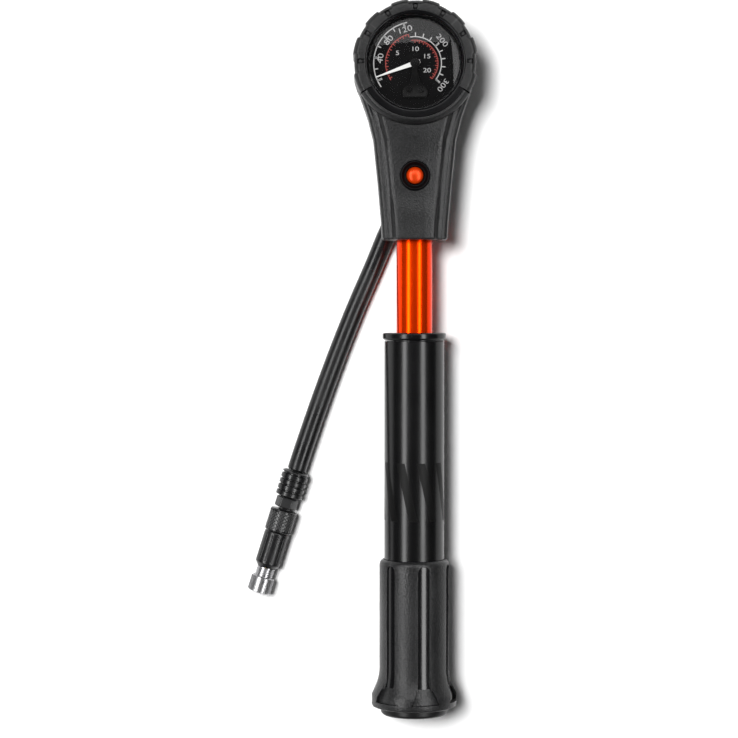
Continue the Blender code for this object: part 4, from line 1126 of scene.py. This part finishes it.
# ---- connector: sleeve, hex, collar, body and nut run along one axis, at distances from the hose's end
connectorPlace = (Matrix.Translation(connectorStart) @ Matrix.Rotation(-connectorTurn, 4, 'Z')
                  @ Matrix.Rotation(math.pi / 2, 4, 'X'))
sleeve = {"reach": 5.7 * mm, "bore": 2.0 * mm, "end": 11.6 * mm, "grooves": 4, "groove": 0.6 * mm,
          "edge": 0.9 * mm}
stem = {"across": 4.8 * mm, "corner": 0.35 * mm, "tailShare": 0.5}
collar = {"reach": 5.75 * mm, "bore": 2.8 * mm, "start": 17.3 * mm, "end": 27.0 * mm}
knurl = {"round": 22.5, "rows": 10, "pitch": 0.80 * mm, "stud": 0.92 * mm, "deep": 0.7 * mm,
         "sunk": 0.42 * mm}
body = {"reach": 5.3 * mm, "bore": 1.2 * mm, "start": 27.3 * mm, "end": 42.7 * mm, "flutes": 12,
        "flute": 0.30 * mm, "chamfer": 1.3 * mm}
nut = {"reach": 5.0 * mm, "neck": 3.8 * mm, "bore": 3.9 * mm, "hole": 1.2 * mm, "start": 43.0 * mm,
       "shoulder": 47.0 * mm, "end": 53.8 * mm, "seat": 47.4 * mm, "grooves": 4, "ridges": 40,
       "ridge": 0.36 * mm, "threads": 15, "threadPitch": 0.35}


def gridLathe(low, high, sides, rows, reachAt, inner):
    # a turned wall whose radius is worked out point by point, with a plain bore
    shape = bmesh.new()
    unit = circle(1.0, sides)
    rings = []
    for row in range(rows + 1):
        height = low + (high - low) * row / rows
        reaches = [reachAt(math.tau * k / sides, height) for k in range(sides)]
        rings.append([shape.verts.new((x * reach, y * reach, height))
                      for (x, y), reach in zip(unit, reaches)])
    rings += [[shape.verts.new((x * inner, y * inner, height)) for x, y in unit] for height in (high, low)]
    joinRings(shape, rings, closedLoop=True)
    return shape


def saw(value):
    # a symmetrical saw from 0 to 1
    return abs((value % 1) * 2 - 1)


def makeSleeve():
    high = sleeve["end"]

    def reachAt(angle, height):
        share = (height - 0.8 * mm) / (10.0 * mm) * sleeve["grooves"]
        groove = smoothStep(saw(share + 0.72), 0.62, 0.86)
        ends = smoothStep(height, 0, 0.8 * mm) * (1 - smoothStep(height, high - 0.4 * mm, high))
        return sleeve["reach"] - sleeve["groove"] * groove - sleeve["edge"] * (1 - ends)

    addPiece("hoseSleeve", gridLathe(0.0, high, 64, 72, reachAt, sleeve["bore"]), "connectorBlack",
             "hose_sleeve", connectorPlace)


def makeStem():
    # a hexagon with a thinner tail inside the collar and body
    shape = bmesh.new()
    outline = soften([Vector(point) for point in circle(stem["across"], 6)], stem["corner"])
    layers = ((11.9, 0.93), (12.35, 1.0), (15.85, 1.0), (16.3, 0.93), (16.3, stem["tailShare"]),
              (33.3, stem["tailShare"]))
    joinRings(shape, [[shape.verts.new((x * share, y * share, height * mm)) for x, y in outline]
                      for height, share in layers])
    addPiece("connectorStem", shape, "connectorBlack", "connector_stem", connectorPlace)


def makeKnurledCollar():
    # staggered diamond studs wind round the collar: each one takes a step round and a small rise
    low, high, reach, hole = collar["start"], collar["end"], collar["reach"], collar["bore"]
    count = int(knurl["round"] * knurl["rows"])
    rise = knurl["pitch"] / knurl["round"]
    studs = ringMesh("connectorBlack", Count=count, Radius=reach - knurl["sunk"], Start=0.0, Rise=rise,
                     Step=math.tau / knurl["round"], Tilt=math.radians(45),
                     Size=(knurl["stud"], knurl["deep"], knurl["stud"]),
                     Height=(low + high) / 2 - count * rise / 2)
    land, valley = reach - 0.05 * mm, reach - 0.4 * mm
    shape = lathe(soften([(hole, low), (reach - 0.5 * mm, low), (land, low + 0.4 * mm),
                          (land, low + 0.75 * mm),
                          (valley, low + 0.9 * mm), (valley, high - 0.9 * mm), (land, high - 0.75 * mm),
                          (land, high - 0.4 * mm), (reach - 0.5 * mm, high), (hole, high)], 0.12 * mm, 2), 72)
    shape.from_mesh(studs)
    addPiece("chuckCollar", shape, "connectorBlack", "chuck_collar", connectorPlace)


def makeChuckBody():
    low, high = body["start"], body["end"]

    def reachAt(angle, height):
        groove = smoothStep(saw(angle / math.tau * body["flutes"] + 0.5), 0.72, 0.95)
        runIn = smoothStep(height, low + 1.0 * mm, low + 2.0 * mm)
        runOut = 1 - smoothStep(height, high - 3.4 * mm, high - 2.2 * mm)
        ends = min((height - low) / (0.4 * mm), 1)
        chamfer = min(max((height - (high - 1.6 * mm)) / (1.6 * mm), 0), 1)
        return (body["reach"] - body["flute"] * groove * runIn * runOut - 0.3 * mm * (1 - ends)
                - body["chamfer"] * chamfer)

    addPiece("chuckBody", gridLathe(low, high, 192, 80, reachAt, body["bore"]), "connectorBlack",
             "chuck_body", connectorPlace, sharp=40)


def makeNut():
    # grooved neck, ridged rim and a threaded mouth down to the gasket
    neck, reach, low, shoulder, high = (nut[key] for key in ("neck", "reach", "start", "shoulder", "end"))
    hole, bore, seat = nut["hole"], nut["bore"], nut["seat"]
    outline = [(hole, low)]
    for groove in range(nut["grooves"]):
        start = low + groove * 1.0 * mm
        outline += [(neck, start), (neck, start + 0.55 * mm), (neck - 0.3 * mm, start + 0.7 * mm),
                    (neck - 0.3 * mm, start + 0.9 * mm)]
    rim = reach - 0.25 * mm
    outline += [(neck - 0.3 * mm, shoulder), (reach - 0.55 * mm, shoulder), (rim, shoulder + 0.3 * mm),
                (rim, high - 0.3 * mm), (reach - 0.55 * mm, high), (bore + 0.3 * mm, high)]
    outline += [(bore - 0.12 * mm * (step % 2), high - (0.4 + nut["threadPitch"] * step) * mm)
                for step in range(nut["threads"])]
    outline += [(bore - 0.1 * mm, seat), (hole, seat)]
    shape = lathe(outline, 120)
    shape.from_mesh(ringMesh("chromed", Count=nut["ridges"], Radius=rim, Start=0.0, Rise=0.0, Tilt=0.0,
                             Step=math.tau / nut["ridges"], Height=(high + shoulder) / 2,
                             Size=(nut["ridge"], 0.5 * mm, high - shoulder - 0.9 * mm)))
    addPiece("chuckNut", shape, "chromed", "chuck_nut", connectorPlace, sharp=30)


makeSleeve()
makeStem()
makeKnurledCollar()
makeChuckBody()
makeNut()
tuple(hosePath[0])
[tuple(point) for point in hosePath]
print("connector made")

# ---- CAD nodes that stay: each takes the finish of its slot
kept = {"moulded_black": "connectorBlack", "rubber_black": "sealRubber", "gloss_black": "ringGloss",
        "anodised_black": "bridgeBlack", "grip_matte": "gripMatte", "orange_anodised": "orangeTube",
        "orange_button": "orangeDome", "chrome": "chromed", "brass": "machinedBrass",
        "steel": "machinedSteel", "dial_black": "dialBlack", "pointer_white": "handWhite",
        "clear_lens": "lensClear", "hose_black": "hoseRubber"}


def dressKeptNodes():
    for node, slot in slotOf.items():
        part = bpy.data.objects.get(node)
        if part is None or part.type != 'MESH':
            continue
        part.data.materials.clear()
        part.data.materials.append(finishes[kept[slot]])
        part.data.shade_smooth()
        part.data.set_sharp_from_angle(angle=math.radians(30))


dressKeptNodes()
print("kept nodes dressed")
